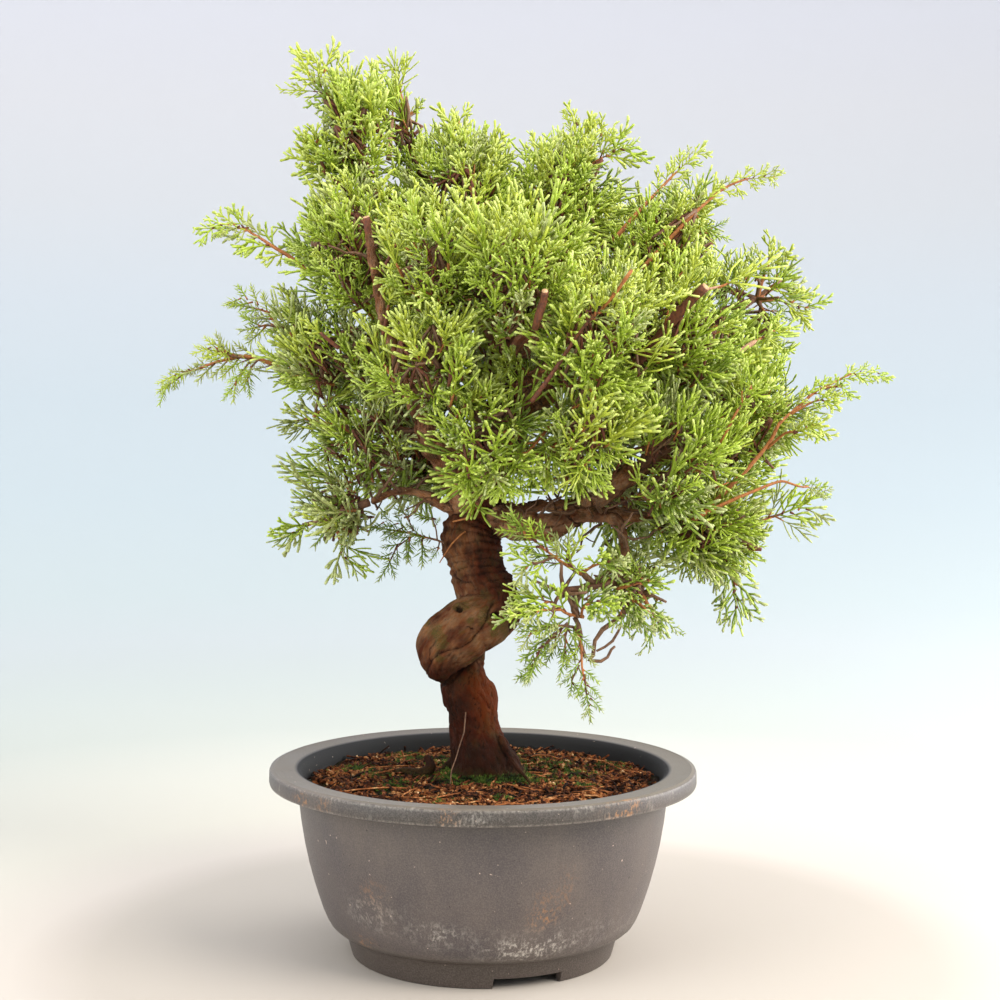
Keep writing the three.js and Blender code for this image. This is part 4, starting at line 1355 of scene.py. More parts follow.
    @staticmethod
    def line_distance(points: Array, line: Array) -> Array:
        """Least distance from points to a broken line, in its plane."""
        least = np.full(len(points), np.inf)
        for a, b in zip(line[:-1], line[1:]):
            ab = b - a
            t = np.clip(((points - a) @ ab) / (ab @ ab), 0, 1)
            least = np.minimum(least, np.linalg.norm(points - a - t[:, None] * ab, axis=1))
        return least


# Foliage


class Bark(Enum):
    """Barks of young wood."""

    ORANGE = TwigFinish("orange_shoot_bark", "#b9753a", "#7d4420")
    RED = TwigFinish("red_twig_bark", "#84492f", "#3f2015")
    BROWN = TwigFinish("brown_twig_bark", "#8b6549", "#4b3122")
    PALE = TwigFinish("pale_twig_bark", "#caa083", "#94674e")


class LeafTone(Enum):
    """Colours of the foliage: four for the cords, then three for their ends; sprays take the lighter or
    darker ones by their painted light and shade.
    """

    CORD_DEEP = LeafFinish("foliage_shade", "#869d35", 0.5)
    CORD_GREEN = LeafFinish("foliage_green", "#a8bd3c", 0.45)
    CORD_OLIVE = LeafFinish("foliage_olive", "#bac546", 0.45)
    CORD_GREY = LeafFinish("foliage_grey_green", "#a4ab63", 0.5)
    END_GREY = LeafFinish("shoot_grey_green", "#b8c080", 0.5)
    END_FRESH = LeafFinish("shoot_fresh_green", "#b9ca5c", 0.4)
    END_LIME = LeafFinish("shoot_lime", "#c8d371", 0.4)


class SprayKind(Enum):
    """Kinds of spray that the plant carries."""

    PLUME = "plume"
    FINGERS = "fingers"
    LEADER = "leader"
    NEEDLE = "needle"
    SPRIG = "sprig"
    BARB = "barb"


@dataclass(frozen=True)
class SprayForm:
    """Sizes of one kind of spray, mm and degrees.

    Attributes:
        kind: which kind.
        variants: how many different ones are made.
        length: length of its axis.
        wood: share of the axis that is woody.
        shoots: side shoots along the axis.
        shoot: length of the first and of the last side shoot.
        angle: how far the first and the last stand off the axis.
        cordlets: small cords on each side shoot.
        cordlet: their length.
        flat: 0 all round the axis, 1 in one plane.
        radius: radius of a cord.
        curl: how much the axis bends.
    """

    kind: SprayKind
    variants: int
    length: float
    wood: float
    shoots: int
    shoot: Flat
    angle: Flat
    cordlets: int
    cordlet: float
    flat: float
    radius: float
    curl: float = 0.12


SPRAY_FORMS = (
    SprayForm(SprayKind.PLUME, 7, 23, 0.34, 8, (11.5, 6.5), (47, 22), 2, 5.2, 0.34, 0.54, 0.18),
    SprayForm(SprayKind.FINGERS, 6, 21, 0.28, 9, (14.5, 9.0), (52, 16), 0, 5.0, 0.35, 0.54, 0.24),
    SprayForm(SprayKind.LEADER, 4, 30, 0.22, 12, (8.6, 3.4), (50, 30), 2, 3.8, 0.5, 0.56, 0.14),
    SprayForm(SprayKind.NEEDLE, 4, 24, 0.42, 26, (7.0, 3.6), (62, 28), 0, 0.0, 0.15, 0.38, 0.16),
    SprayForm(SprayKind.SPRIG, 6, 11, 0.15, 6, (6.4, 4.0), (50, 26), 1, 3.2, 0.5, 0.56, 0.14),
    SprayForm(SprayKind.BARB, 4, 12, 0.2, 15, (6.0, 3.2), (58, 28), 0, 0.0, 0.3, 0.4, 0.12),
)


class SprayMaker:
    """Builds the shapes of the sprays: a woody axis, cords, and the cords' bright ends."""

    pointed = (SprayKind.NEEDLE, SprayKind.BARB)

    def __init__(self) -> None:
        """Makes every variant once and keeps where each kind starts."""
        self.first: dict[SprayKind, tuple[int, int]] = {}
        self.wood: list[tuple[Array, Array]] = []
        self.cords: list[tuple[Array, Array]] = []
        self.ends: list[tuple[Array, Array]] = []
        self.lengths: list[float] = []
        for form in SPRAY_FORMS:
            self.first[form.kind] = (len(self.wood), form.variants)
            for _ in range(form.variants):
                wood, cords, ends = self.spray(form, np.random.default_rng(900 + 31 * len(self.wood)))
                self.wood.append(wood.arrays())
                self.cords.append(cords.arrays())
                self.ends.append(ends.arrays())
                self.lengths.append(form.length)

    @staticmethod
    def cord(cords: Shape, ends: Shape, line: Array, radius: float, bright: float) -> None:
        """One scale-clad cord with a blunt end, in two colours.

        Args:
            cords: where its lower part goes.
            ends: where its end goes.
            line: three points, root to end.
            radius: its radius.
            bright: share of it in the end's colour, under a half.
        """
        joint = line[1] + (line[2] - line[1]) * (0.5 - bright) / 0.5
        cords.add(*tube(np.array([line[0], line[1], joint]), np.array([0.62, 0.94, 1.0]) * radius, 3, 0.05))
        ends.add(*tube(np.array([joint, line[2]]), np.array([1.03, 1.0]) * radius, 3, 0.85))

    @staticmethod
    def cordlet(part: Shape, root: Array, end: Array, radius: float) -> None:
        """A small cord of one colour."""
        part.add(*tube(np.array([root, end]), np.array([0.72, 1.0]) * radius, 3, 0.85))

    @staticmethod
    def needle(root: Array, tip: Array, radius: float) -> tuple[Array, Array]:
        """A pointed needle: one ring between two points."""
        axis = unit(tip - root)
        side = unit(np.cross(axis, [0.31, 0.87, 0.39]))
        up = np.cross(axis, side)
        across, upwards = (radius * f(round_angles(3))[:, None] for f in (np.cos, np.sin))
        ring = root + (tip - root) * 0.4 + side * across + up * upwards
        return np.vstack([ring, root, tip]), tube_faces(3, 1)

    def spray(self, form: SprayForm, rng: Draws) -> tuple[Shape, Shape, Shape]:
        """One variant of a kind, rooted at the origin and growing up its Z axis."""
        wood, cords, ends = Shape(), Shape(), Shape()
        bend = rng.uniform(-1, 1, 2) * form.curl * form.length

        def axis_at(t: float) -> Array:
            """Point of the bent axis at share t."""
            return np.array([bend[0] * t * t, bend[1] * t * t, form.length * t])

        steps = np.array([0, form.wood * 0.5, form.wood])
        thick = 0.55 if form.kind in self.pointed else form.radius
        wood.add(*tube(np.array([axis_at(t) for t in steps]), np.array([1.05, 0.9, 0.75]) * thick, 4, 0.4))
        line = np.array([axis_at(t) for t in (form.wood * 0.96, (1 + form.wood) / 2, 1.0)])
        if form.kind in self.pointed:
            cords.add(*tube(line, np.array([0.5, 0.46, 0.36]), 3, 1.2))
        else:
            self.cord(cords, ends, line, form.radius * 0.9, 0.3)
        for i in range(form.shoots):
            self.side_shoot(form, i, axis_at, rng, cords, ends)
        return wood, cords, ends

    def side_shoot(self, form: SprayForm, i: int, axis_at: Callable[[float], Array], rng: Draws,
                   cords: Shape, ends: Shape) -> None:
        """One side shoot of a spray with its small cords.

        Args:
            form: the spray's sizes.
            i: which shoot.
            axis_at: the axis by share.
            rng: random numbers.
            cords: where lower parts go.
            ends: where bright parts go.
        """
        low = 0.2 if form.kind in self.pointed else 0.1
        t = low + (0.97 - low) * (i + rng.uniform(0.1, 0.9)) / form.shoots
        share = (t - low) / (0.97 - low)
        around = i * 2.4 + rng.uniform(-0.45, 0.45)
        radial = unit(np.array([math.cos(around), math.sin(around) * (1 - form.flat), 0]))
        here, ahead = axis_at(t), unit(axis_at(t + 0.02) - axis_at(t - 0.02))
        lean = math.radians(form.angle[0] + (form.angle[1] - form.angle[0]) * share + rng.uniform(-9, 9))
        out = unit(ahead * math.cos(lean) + radial * math.sin(lean))
        reach = (form.shoot[0] + (form.shoot[1] - form.shoot[0]) * share) * rng.uniform(0.75, 1.18)
        if form.kind in self.pointed:
            part = ends if share > 0.72 else cords
            part.add(*self.needle(here, here + out * reach, form.radius))
            return
        mid = here + out * reach * 0.5
        tip = mid + unit(out + 0.5 * ahead + rng.normal(0, 0.14, 3)) * reach * 0.5
        self.cord(cords, ends, np.array([here, mid, tip]), form.radius, rng.uniform(0.2, 0.36))
        across = unit(np.cross(out, radial + rng.normal(0, 0.5, 3)))
        for c in range(form.cordlets):
            at = 0.35 + 0.45 * (c + rng.uniform(0, 0.8)) / form.cordlets
            root = here + (mid - here) * at * 2 if at < 0.5 else mid + (tip - mid) * (at - 0.5) * 2
            way = unit(out + across * (1 if (c + i) % 2 else -1) * rng.uniform(0.5, 0.9) + 0.2 * ahead)
            end = root + way * form.cordlet * rng.uniform(0.7, 1.2) * (1 - 0.2 * share)
            self.cordlet(ends if rng.random() < 0.55 else cords, root, end, form.radius * 0.95)


@dataclass(frozen=True)
class Shoot:
    """One long shoot or bare twig that is seen singly.

    Attributes:
        mass: the mass it belongs to.
        course: points from its root, mm.
        root: radius at its root, mm.
        tip: radius at its end, mm.
        bark: its bark.
        kind: sprays along it, or None for a bare twig.
        first: share of its course where the sprays start.
        reach: length of the first and of the last spray beside it, mm.
        cut: True where it ends in a pale cut.
    """

    mass: str
    course: tuple[Point, ...]
    root: float
    tip: float
    bark: Bark
    kind: Optional[SprayKind] = None
    first: float = 0.35
    reach: Flat = (16.0, 8.0)
    cut: bool = False


def grown(mass: str, *rows: tuple) -> tuple[Shoot, ...]:
    """Shoots of one mass, from rows of all else that a shoot has."""
    return tuple(Shoot(mass, *row) for row in rows)


ORANGE, RED, BROWN, PALE = Bark
PLUME, FINGERS, LEADER, NEEDLE = SprayKind.PLUME, SprayKind.FINGERS, SprayKind.LEADER, SprayKind.NEEDLE
SHOOTS = (
    *grown("right_arm",
           (((98, -34, 208), (114, -34, 225), (118, -34, 229), (128, -32, 241), (132, -32, 249),
            (139, -28, 255), (150, -24, 264), (155, -22, 266), (167, -18, 272), (178, -14, 273),
            (185, -12, 270)), 1.2, 0.45, ORANGE, LEADER, 0.5, (9.5, 5)),
           (((127, -32, 238), (134, -38, 245), (139, -42, 246), (145, -46, 249), (149, -48, 250)), 0.8, 0.4,
            ORANGE, PLUME, 0.3, (8, 5)),
           (((137, -29, 253), (147, -30, 259), (153, -32, 260), (159, -32, 259)), 0.7, 0.4, ORANGE, LEADER,
            0.3, (10, 6)),
           (((152, -23, 265), (159, -26, 266), (162, -28, 265), (166, -30, 262)), 0.6, 0.4, ORANGE, LEADER,
            0.3, (9, 6))),
    *grown("right_bottom",
           (((92, -44, 206), (105, -44, 213), (119, -42, 219), (130, -38, 223), (136, -36, 223),
            (143, -34, 221), (149, -30, 221), (153, -28, 219), (156, -26, 217)), 1.0, 0.4, ORANGE, LEADER,
            0.62, (6, 4))),
    *grown("right_arm",
           (((101, -62, 238), (107, -66, 251.3), (111.4, -68, 259.5), (118, -70, 270)), 0.9, 0.5, ORANGE,
            PLUME, 0.62, (14, 10))),
    *grown("upper_right",
           (((70, -30, 318), (85.4, -26, 334.9), (96.5, -22, 346.2), (109.7, -16, 356.8),
            (125.1, -10, 361.8), (135, -8, 361)), 1.2, 0.45, ORANGE, LEADER, 0.4, (10, 5)),
           (((58, -14, 332), (70.3, -10, 346.4), (81, -2, 357.9), (89.8, 4, 367.4), (101, 8, 378)), 1.3, 0.5,
            ORANGE, LEADER, 0.45, (9, 6))),
    Shoot("right_mid", ((66, -40, 274), (73.3, -48, 283), (86.5, -55, 299.3), (95, -61, 308)), 2.3, 2.0, RED,
          cut=True),
    *grown("right_mid",
           (((92, -59, 305), (94.5, -60, 306.8), (102.5, -58, 308.7), (113.4, -54, 312.1), (122, -50, 317)),
            0.9, 0.5, PALE, FINGERS, 0.55, (8, 6))),
    *grown("right_outer",
           (((108, -26, 276), (116.3, -22, 281.9), (123.2, -18, 286.6), (131, -14, 291.4), (139, -6, 296)),
            1.8, 1.2, PALE, FINGERS, 0.6, (11, 8))),
    *grown("front_right",
           (((20, -84, 258), (28.3, -92, 269.6), (40.7, -99, 288.4), (48.6, -102, 296.4),
            (59.9, -106, 311.5)), 1.2, 0.6, RED, PLUME, 0.6, (13, 9)),
           (((48.6, -102, 296.4), (54, -105, 303), (59.9, -107, 311.5)), 0.85, 0.7, ORANGE)),
    Shoot("front_centre", ((21, -96, 288), (23, -101, 294.8), (24.1, -104, 299.4), (24.7, -106, 302.8)), 1.6,
          1.5, RED, cut=True),
    Shoot("front_upper", ((-50.4, -57, 329), (-51.2, -58.5, 333), (-51.6, -59, 337)), 1.7, 1.6, RED,
          cut=True),
    *grown("apex_back",
           (((-46.5, 16, 372), (-45.7, 20, 387.4), (-44.6, 24, 399.3), (-43, 28, 408)), 1.5, 0.9, PALE,
            FINGERS, 0.6, (12, 9))),
    *grown("left_arm",
           (((-63.4, -56, 280.9), (-71.2, -60, 287.2), (-78, -62, 292.2)), 1.1, 0.7, RED, PLUME, 0.7,
            (13, 10))),
    *grown("left_shoulder",
           (((-43, -62, 316), (-39.5, -66, 323), (-35.5, -68, 328.4), (-31.2, -70, 334.1)), 0.9, 0.6, RED,
            PLUME, 0.7, (12, 9)),
           (((-44, -56, 286), (-42.2, -62, 295.5), (-40.7, -66, 302.5), (-39.6, -68, 309.5)), 1.2, 0.8, RED,
            PLUME, 0.75, (12, 9))),
    *grown("left_arm",
           (((-84, -8, 268), (-96, -10, 274), (-109, -12, 278), (-116, -12, 277), (-125, -12, 275),
            (-133, -10, 272), (-142, -8, 270), (-146, -6, 265), (-152, -4, 260)), 1.2, 0.45, ORANGE, NEEDLE,
            0.1, (15, 9)),
           (((-104, -8, 277), (-116, -14, 278), (-119, -16, 280), (-126, -18, 282), (-132, -20, 281)), 0.7,
            0.4, BROWN, NEEDLE, 0.2, (12, 8)),
           (((-107, -10, 278), (-110, -18, 272), (-113, -24, 266), (-117, -28, 258)), 0.6, 0.35, BROWN,
            NEEDLE, 0.2, (10, 7)),
           (((-104, -12, 277), (-109, -6, 272), (-112, 0, 263)), 0.6, 0.35, BROWN, NEEDLE, 0.2, (10, 7))),
    *grown("left_shoulder",
           (((-80, -22, 316), (-89, -22, 323), (-99, -22, 329), (-107, -20, 334), (-112, -20, 337),
            (-120, -20, 337), (-131, -20, 334)), 1.2, 0.45, ORANGE, LEADER, 0.2, (13, 8))),
    *grown("left_arm",
           (((-82, 0, 281), (-90, 2, 287), (-99, 6, 295), (-106, 8, 302), (-114, 10, 306), (-122, 12, 306)),
            1.1, 0.45, ORANGE, NEEDLE, 0.3, (13, 8)),
           (((-94, 4, 292), (-102, 2, 293), (-107, 0, 292), (-114, -2, 291)), 0.8, 0.4, BROWN, NEEDLE, 0.2,
            (11, 8))),
    *grown("trunk_sprig",
           (((-4.2, -15, 210), (-7.4, -16, 205.4), (-14.6, -15, 203.1)), 0.55, 0.4, ORANGE),
           (((-8.7, -15, 198.6), (-13.7, -16, 194.4), (-18, -15, 188), (-20.5, -14, 184)), 0.45, 0.25,
            ORANGE),
           (((-8, -15.5, 116), (-9, -19, 106), (-11, -20, 99), (-14, -24, 90), (-15, -26, 82)), 0.3, 0.22,
            BROWN),
           (((-9, -9, 190), (-14, -9, 191), (-20, -6, 193), (-27, -6, 195), (-35, -6, 198), (-41, -6, 202),
            (-48, -6, 202), (-54, -6, 202)), 0.8, 0.4, BROWN, NEEDLE, 0.35, (9, 7)),
           (((-33, -6, 198), (-35, -8, 203), (-38, -8, 208), (-41, -8, 212)), 0.4, 0.3, BROWN, NEEDLE, 0.1,
            (7, 5)),
           (((-22, -6, 194), (-23, -8, 201), (-26, -10, 207), (-33, -12, 207)), 0.4, 0.3, BROWN, NEEDLE, 0.3,
            (6, 5)),
           (((-31, -6, 197), (-36, -6, 194), (-41, -7, 190), (-45, -8, 184), (-47, -8, 174)), 0.5, 0.35,
            BROWN, NEEDLE, 0.15, (10, 7)),
           (((-33, -6, 197), (-35, -9, 193), (-36, -10, 184)), 0.4, 0.3, BROWN, NEEDLE, 0.2, (7, 5)),
           (((-28, -6, 196), (-29, -8, 192), (-29, -9, 182)), 0.4, 0.3, BROWN, NEEDLE, 0.2, (7, 5)),
           (((-21, -6, 193), (-22, -9, 189), (-25, -10, 185)), 0.4, 0.3, BROWN, NEEDLE, 0.3, (6, 5)),
           (((-37, -6, 200), (-43, -9, 197), (-47, -10, 194)), 0.4, 0.3, BROWN, NEEDLE, 0.2, (7, 5))),
    *grown("droop_front",
           (((70, -36, 183), (63, -42, 179), (54, -48, 178), (48, -52, 179), (43, -56, 184)), 2.6, 1.3,
            BROWN),
           (((46, -52, 177), (41, -54, 173), (40, -55, 169), (41, -56, 165)), 2.2, 1.6, BROWN),
           (((65, -48, 171), (61, -50, 164), (55, -52, 160), (50, -54, 156), (49, -54, 148), (47, -54, 145),
            (50, -54, 145), (54, -54, 145), (56, -54, 149), (58, -54, 151)), 1.3, 0.55, BROWN),
           (((40, -56, 164), (43, -56, 158), (43, -55, 152), (45, -54, 146)), 1.1, 0.9, BROWN),
           (((61, -50, 161), (60, -50, 158), (56, -52, 152), (50, -54, 149)), 0.7, 0.6, BROWN),
           (((43, -56, 183), (35, -60, 188), (28, -64, 193), (21, -68, 199), (15, -70, 203), (8, -72, 208)),
            1, 0.45, ORANGE, NEEDLE, 0.12, (15, 12)),
           (((31, -62, 191), (25, -66, 189), (18, -68, 187), (14, -70, 186)), 0.7, 0.4, BROWN, FINGERS, 0.1,
            (12, 9)),
           (((40, -58, 184), (38, -60, 188), (36, -58, 195), (38, -56, 203)), 0.7, 0.4, BROWN, NEEDLE, 0.1,
            (14, 11)),
           (((44, -54, 164), (37, -60, 166), (31, -64, 170), (26, -66, 173), (21, -68, 175), (14, -70, 175)),
            0.9, 0.4, ORANGE, FINGERS, 0.15, (13, 9)),
           (((34, -62, 168), (24, -68, 168), (18, -70, 167), (8, -72, 167)), 0.7, 0.4, ORANGE, PLUME, 0.1,
            (14, 10)),
           (((42, -56, 159), (35, -62, 161), (27, -66, 160), (20, -68, 158), (15, -70, 155)), 0.8, 0.4,
            BROWN, NEEDLE, 0.1, (14, 9)),
           (((37, -60, 162), (30, -62, 156), (24, -62, 149), (21, -61, 142), (18, -60, 135)), 0.7, 0.4,
            BROWN, NEEDLE, 0.1, (15, 9)),
           (((37, -58, 160), (36, -60, 155), (36, -61, 148), (35, -62, 137)), 0.6, 0.4, BROWN, NEEDLE, 0.05,
            (13, 8)),
           (((40, -56, 159), (43, -60, 152), (43, -64, 143), (46, -66, 134), (47, -66, 127), (46, -66, 119)),
            0.9, 0.4, ORANGE, NEEDLE, 0.1, (10, 7)),
           (((42, -63, 144), (39, -62, 137), (38, -60, 130)), 0.5, 0.35, BROWN, NEEDLE, 0.1, (10, 7)),
           (((32, -60, 157), (31, -56, 150), (27, -54, 143)), 0.5, 0.35, BROWN, NEEDLE, 0.1, (10, 7)),
           (((44, -56, 184), (48, -60, 187), (55, -62, 189), (61, -64, 187)), 0.8, 0.45, ORANGE, PLUME, 0.3,
            (14, 10)),
           (((43, -56, 164), (44, -60, 169), (50, -62, 172), (56, -64, 173)), 0.8, 0.4, ORANGE, FINGERS,
            0.15, (15, 11)),
           (((44, -58, 172), (46, -58, 172), (51, -62, 169), (56, -64, 165)), 0.7, 0.4, BROWN, FINGERS, 0.1,
            (14, 10))),
    *grown("droop_right",
           (((59, -50, 176), (65, -54, 178), (73, -56, 180), (80, -58, 179)), 0.9, 0.45, ORANGE, PLUME, 0.2,
            (10, 7)),
           (((64, -50, 175), (66, -52, 171), (68, -54, 165), (71, -54, 157)), 0.8, 0.4, ORANGE, FINGERS,
            0.15, (11, 8)),
           (((67, -50, 171), (73, -52, 166), (77, -52, 162), (80, -52, 157)), 0.8, 0.4, ORANGE, PLUME, 0.15,
            (8, 6)),
           (((61, -52, 170), (61, -56, 165), (63, -58, 158)), 0.6, 0.4, BROWN, FINGERS, 0.2, (9, 7))),
    *grown("front_left",
           (((-14, -60, 246), (-10, -64, 254), (-2, -66, 260), (5, -66, 264)), 0.8, 0.5, ORANGE, FINGERS,
            0.3, (16, 12)),
           (((16, -58, 242), (12, -62, 248), (7, -64, 253)), 0.7, 0.5, BROWN, FINGERS, 0.2, (15, 12))),
    *grown("front_centre",
           (((16, -52, 258), (12, -54, 267), (6, -56, 275)), 0.8, 0.5, RED, FINGERS, 0.2, (16, 12)),
           (((22, -52, 264), (16, -56, 273), (10, -58, 280)), 0.8, 0.5, RED, PLUME, 0.3, (16, 12))),
    *grown("left_shoulder",
           (((-64, -14, 354), (-75, -16, 364), (-84, -18, 372)), 1.2, 0.6, RED, PLUME, 0.15, (15, 11)),
           (((-73, -16, 361), (-76, -20, 371), (-79, -20, 381)), 0.9, 0.5, RED, PLUME, 0.2, (13, 10))),
    *grown("front_low",
           (((29, -60, 248), (21, -72, 239), (13, -76, 230), (7, -76, 220)), 0.9, 0.5, ORANGE, FINGERS, 0.2,
            (18, 14)),
           (((51, -64, 250), (46, -76, 239), (44, -78, 225)), 0.9, 0.5, ORANGE, FINGERS, 0.15, (18, 14)),
           (((36, -60, 246), (29, -70, 237), (25, -72, 225)), 0.8, 0.5, ORANGE, FINGERS, 0.15, (17, 13)),
           (((-2, -60, 241), (-6, -70, 233), (-9, -72, 224)), 0.8, 0.5, BROWN, FINGERS, 0.2, (16, 12)),
           (((16, -58, 245), (9, -70, 236), (2, -72, 225)), 0.8, 0.5, ORANGE, FINGERS, 0.15, (17, 13)),
           (((20, -18, 220), (27, -24, 222), (34, -28, 224), (43, -30, 229)), 0.9, 0.6, BROWN, NEEDLE, 0.05,
            (10, 8))),
)


# The crown's outline as it shows from the front, without its longest shoots, on the upright plane through the
# bowl's axis, mm.
CROWN_EDGE = (
    (-82, 422), (-74, 422), (-68, 414), (-56, 410), (-44, 416), (-36, 408), (-37, 398), (-43, 389),
    (-33, 384), (-16, 390), (12, 384), (32, 384), (44, 386), (51, 380), (50, 365), (62, 362), (71, 378),
    (67, 364), (70, 356), (81, 368), (95, 375), (80, 358), (84, 354), (112, 366), (118, 362), (101, 343),
    (103, 334), (123, 328), (125, 318), (106, 311), (108, 302), (122, 302), (126, 291), (128, 304),
    (137, 308), (138, 297), (149, 297), (148, 289), (143, 282), (143, 275), (138, 270), (137, 262),
    (143, 258), (146, 250), (144, 243), (137, 233), (142, 222), (134, 212), (131, 198), (124, 190),
    (125, 178), (114, 174), (101, 173), (90, 179), (80, 168), (72, 163), (79, 158), (66, 150), (58, 151),
    (45, 128), (28, 138), (8, 144), (-14, 171), (-19, 206), (-50, 210), (-66, 186), (-79, 199), (-88, 203),
    (-84, 214), (-97, 224), (-95, 234), (-84, 244), (-82, 256), (-90, 260), (-99, 260), (-105, 270),
    (-106, 279), (-98, 288), (-106, 296), (-101, 306), (-92, 319), (-102, 330), (-97, 336), (-80, 352),
    (-86, 362), (-92, 372), (-90, 380), (-80, 386), (-76, 393), (-84, 414), (-78, 404),
)


def within(flat: Array, line: Array, margin: Array) -> Array:
    """True for points inside a closed line and at least a margin away from it."""
    a, b = line, np.roll(line, -1, 0)
    x, z = flat[:, :1], flat[:, 1:]
    slope = (b[:, 0] - a[:, 0]) / np.where(b[:, 1] == a[:, 1], 1e-9, b[:, 1] - a[:, 1])
    crossings = ((a[:, 1] > z) != (b[:, 1] > z)) & (x < slope * (z - a[:, 1]) + a[:, 0])
    return (crossings.sum(1) % 2 == 1) & (Wood.line_distance(flat, np.vstack([line, line[:1]])) > margin)


@dataclass(frozen=True)
class Opening:
    """A place left open in the foliage as it shows from the front.

    Attributes:
        line: its course in x and z, on the upright plane through the bowl's axis, mm.
        radius: how wide it is, mm.
        back: y as far back as which foliage is left out.
        share: share of the sprays left out.
    """

    line: tuple[Flat, ...]
    radius: float
    back: float = 200.0
    share: float = 1.0


OPENINGS = tuple(Opening(*row) for row in (
    (((-18, 226), (-24.8, 240.2), (-36, 265)), 3.5, -18, 0.85),
    (((-40, 273), (-45.5, 285.2), (-47.9, 294.5), (-50.7, 307.4), (-52.6, 318), (-55.5, 338)), 4.2, -44,
     0.95),
    (((6.6, 285.6), (9.2, 262)), 4.0, -4, 0.35),
    (((9.2, 262), (9, 248), (2.3, 228), (2, 216)), 5.0, -4, 0.25),
    (((24.4, 205), (40.8, 206), (52.9, 210), (64.5, 220.3), (74.6, 232.5), (82, 238.2)), 4.4, -18, 0.85),
    (((-14, 212.3), (-28, 209.4), (-39.7, 213), (-51.8, 211.5), (-63, 209)), 4.4, -12, 0.9),
    (((66, 276), (86.5, 295), (96, 308)), 3.6, -50, 0.95),
    (((104, 214), (128.6, 241.4), (138.5, 253.1), (150.3, 264)), 3.0, -28, 0.95),
    (((104, 212), (118, 219)), 3.0, -40, 0.95),
    (((106, 250), (114, 263)), 2.6, -66, 0.95),
    (((116, 282), (131, 291.4)), 3.0, -16, 0.95),
    (((28, 269), (40.7, 288), (48.6, 296), (58, 309)), 2.8, -96, 0.9),
    (((24.5, 301), (24.6, 303)), 3.2, -100, 1.0),
    (((96, 345), (110, 356)), 2.8, -14, 0.95),
    (((-48, 202), (-34, 199), (-18, 199)), 7.5),
    (((23, 210), (36, 209)), 2.6),
    (((43, 196), (53, 189)), 7.5),
    (((14, 188), (13, 176)), 4.0),
    (((-60, 300.4), (-57, 298)), 3.0),
    (((-28, 267), (-24, 271)), 3.2, -10.0),
    (((-8.7, 271), (-9, 266)), 3.0, 200.0),
    (((-20, 353), (-18, 347)), 3.4),
    (((-36, 398), (-34, 388)), 4.0),
    (((78.5, 303), (79, 299)), 3.0),
    (((79.8, 271), (80, 264)), 3.0),
    (((70, 231), (75, 225)), 4.4),
    (((6, 395), (20, 393)), 4.0),
    (((56, 382), (60, 370)), 6.0),
    (((85, 366), (87, 360)), 2.5),
    (((128, 345), (136, 348), (146, 350)), 6.0),
    (((-104, 308), (-112, 320)), 4.0),
    (((-98, 248), (-110, 245)), 5.0),
    (((-94, 352), (-99, 346)), 3.5),
    (((113, 310), (126, 303)), 4.0),
    (((127, 299), (128, 290)), 4.0),
    (((80, 170), (88, 168), (92, 160)), 5.0),
    (((146, 228), (160, 236), (150, 200)), 5.0, 200.0, 0.9),
))


@dataclass
class Sprays:
    """Where every spray grows: rows gathered mass by mass.

    Attributes:
        front: y that hardly any tip passes, mm.
    """

    front: float = -107.0
    root: list[Array] = field(default_factory=list)
    axis: list[Array] = field(default_factory=list)
    facing: list[Array] = field(default_factory=list)
    length: list[float] = field(default_factory=list)
    kind: list[SprayKind] = field(default_factory=list)
    light: list[float] = field(default_factory=list)
    cool: list[float] = field(default_factory=list)
    mass: list[str] = field(default_factory=list)

    def add(self, root: Array, tip: Array, facing: Array, kind: SprayKind, light: float, cool: float,
            mass: str) -> None:
        """Adds one spray.

        Args:
            root: where it starts.
            tip: where it ends.
            facing: where its flat side looks.
            kind: its kind.
            light: its painted light, 0 to 1.
            cool: how grey green it is, 0 to 1.
            mass: the mass it belongs to.
        """
        if tip[1] < self.front:
            tip = np.array([tip[0], self.front + 0.2 * (tip[1] - self.front), tip[2]])
        gap = np.asarray(tip, float) - np.asarray(root, float)
        if np.linalg.norm(gap) < 15:
            kind = SprayKind.BARB if kind is SprayKind.NEEDLE else SprayKind.SPRIG
        self.root.append(np.asarray(root, float))
        self.length.append(float(np.linalg.norm(gap)))
        self.axis.append(unit(gap))
        self.facing.append(np.asarray(facing, float))
        self.kind.append(kind)
        self.light.append(float(light))
        self.cool.append(float(cool))
        self.mass.append(mass)

    def turns(self) -> Array:
        """Euler angles of every spray."""
        found = []
        for axis, facing in zip(self.axis, self.facing):
            z = Vector(axis)
            x = Vector(facing).cross(z)
            x = x.normalized() if x.length > 1e-3 else z.orthogonal().normalized()
            y = z.cross(x)
            found.append(Matrix((x, y, z)).transposed().to_euler())
        return np.array([tuple(e) for e in found])


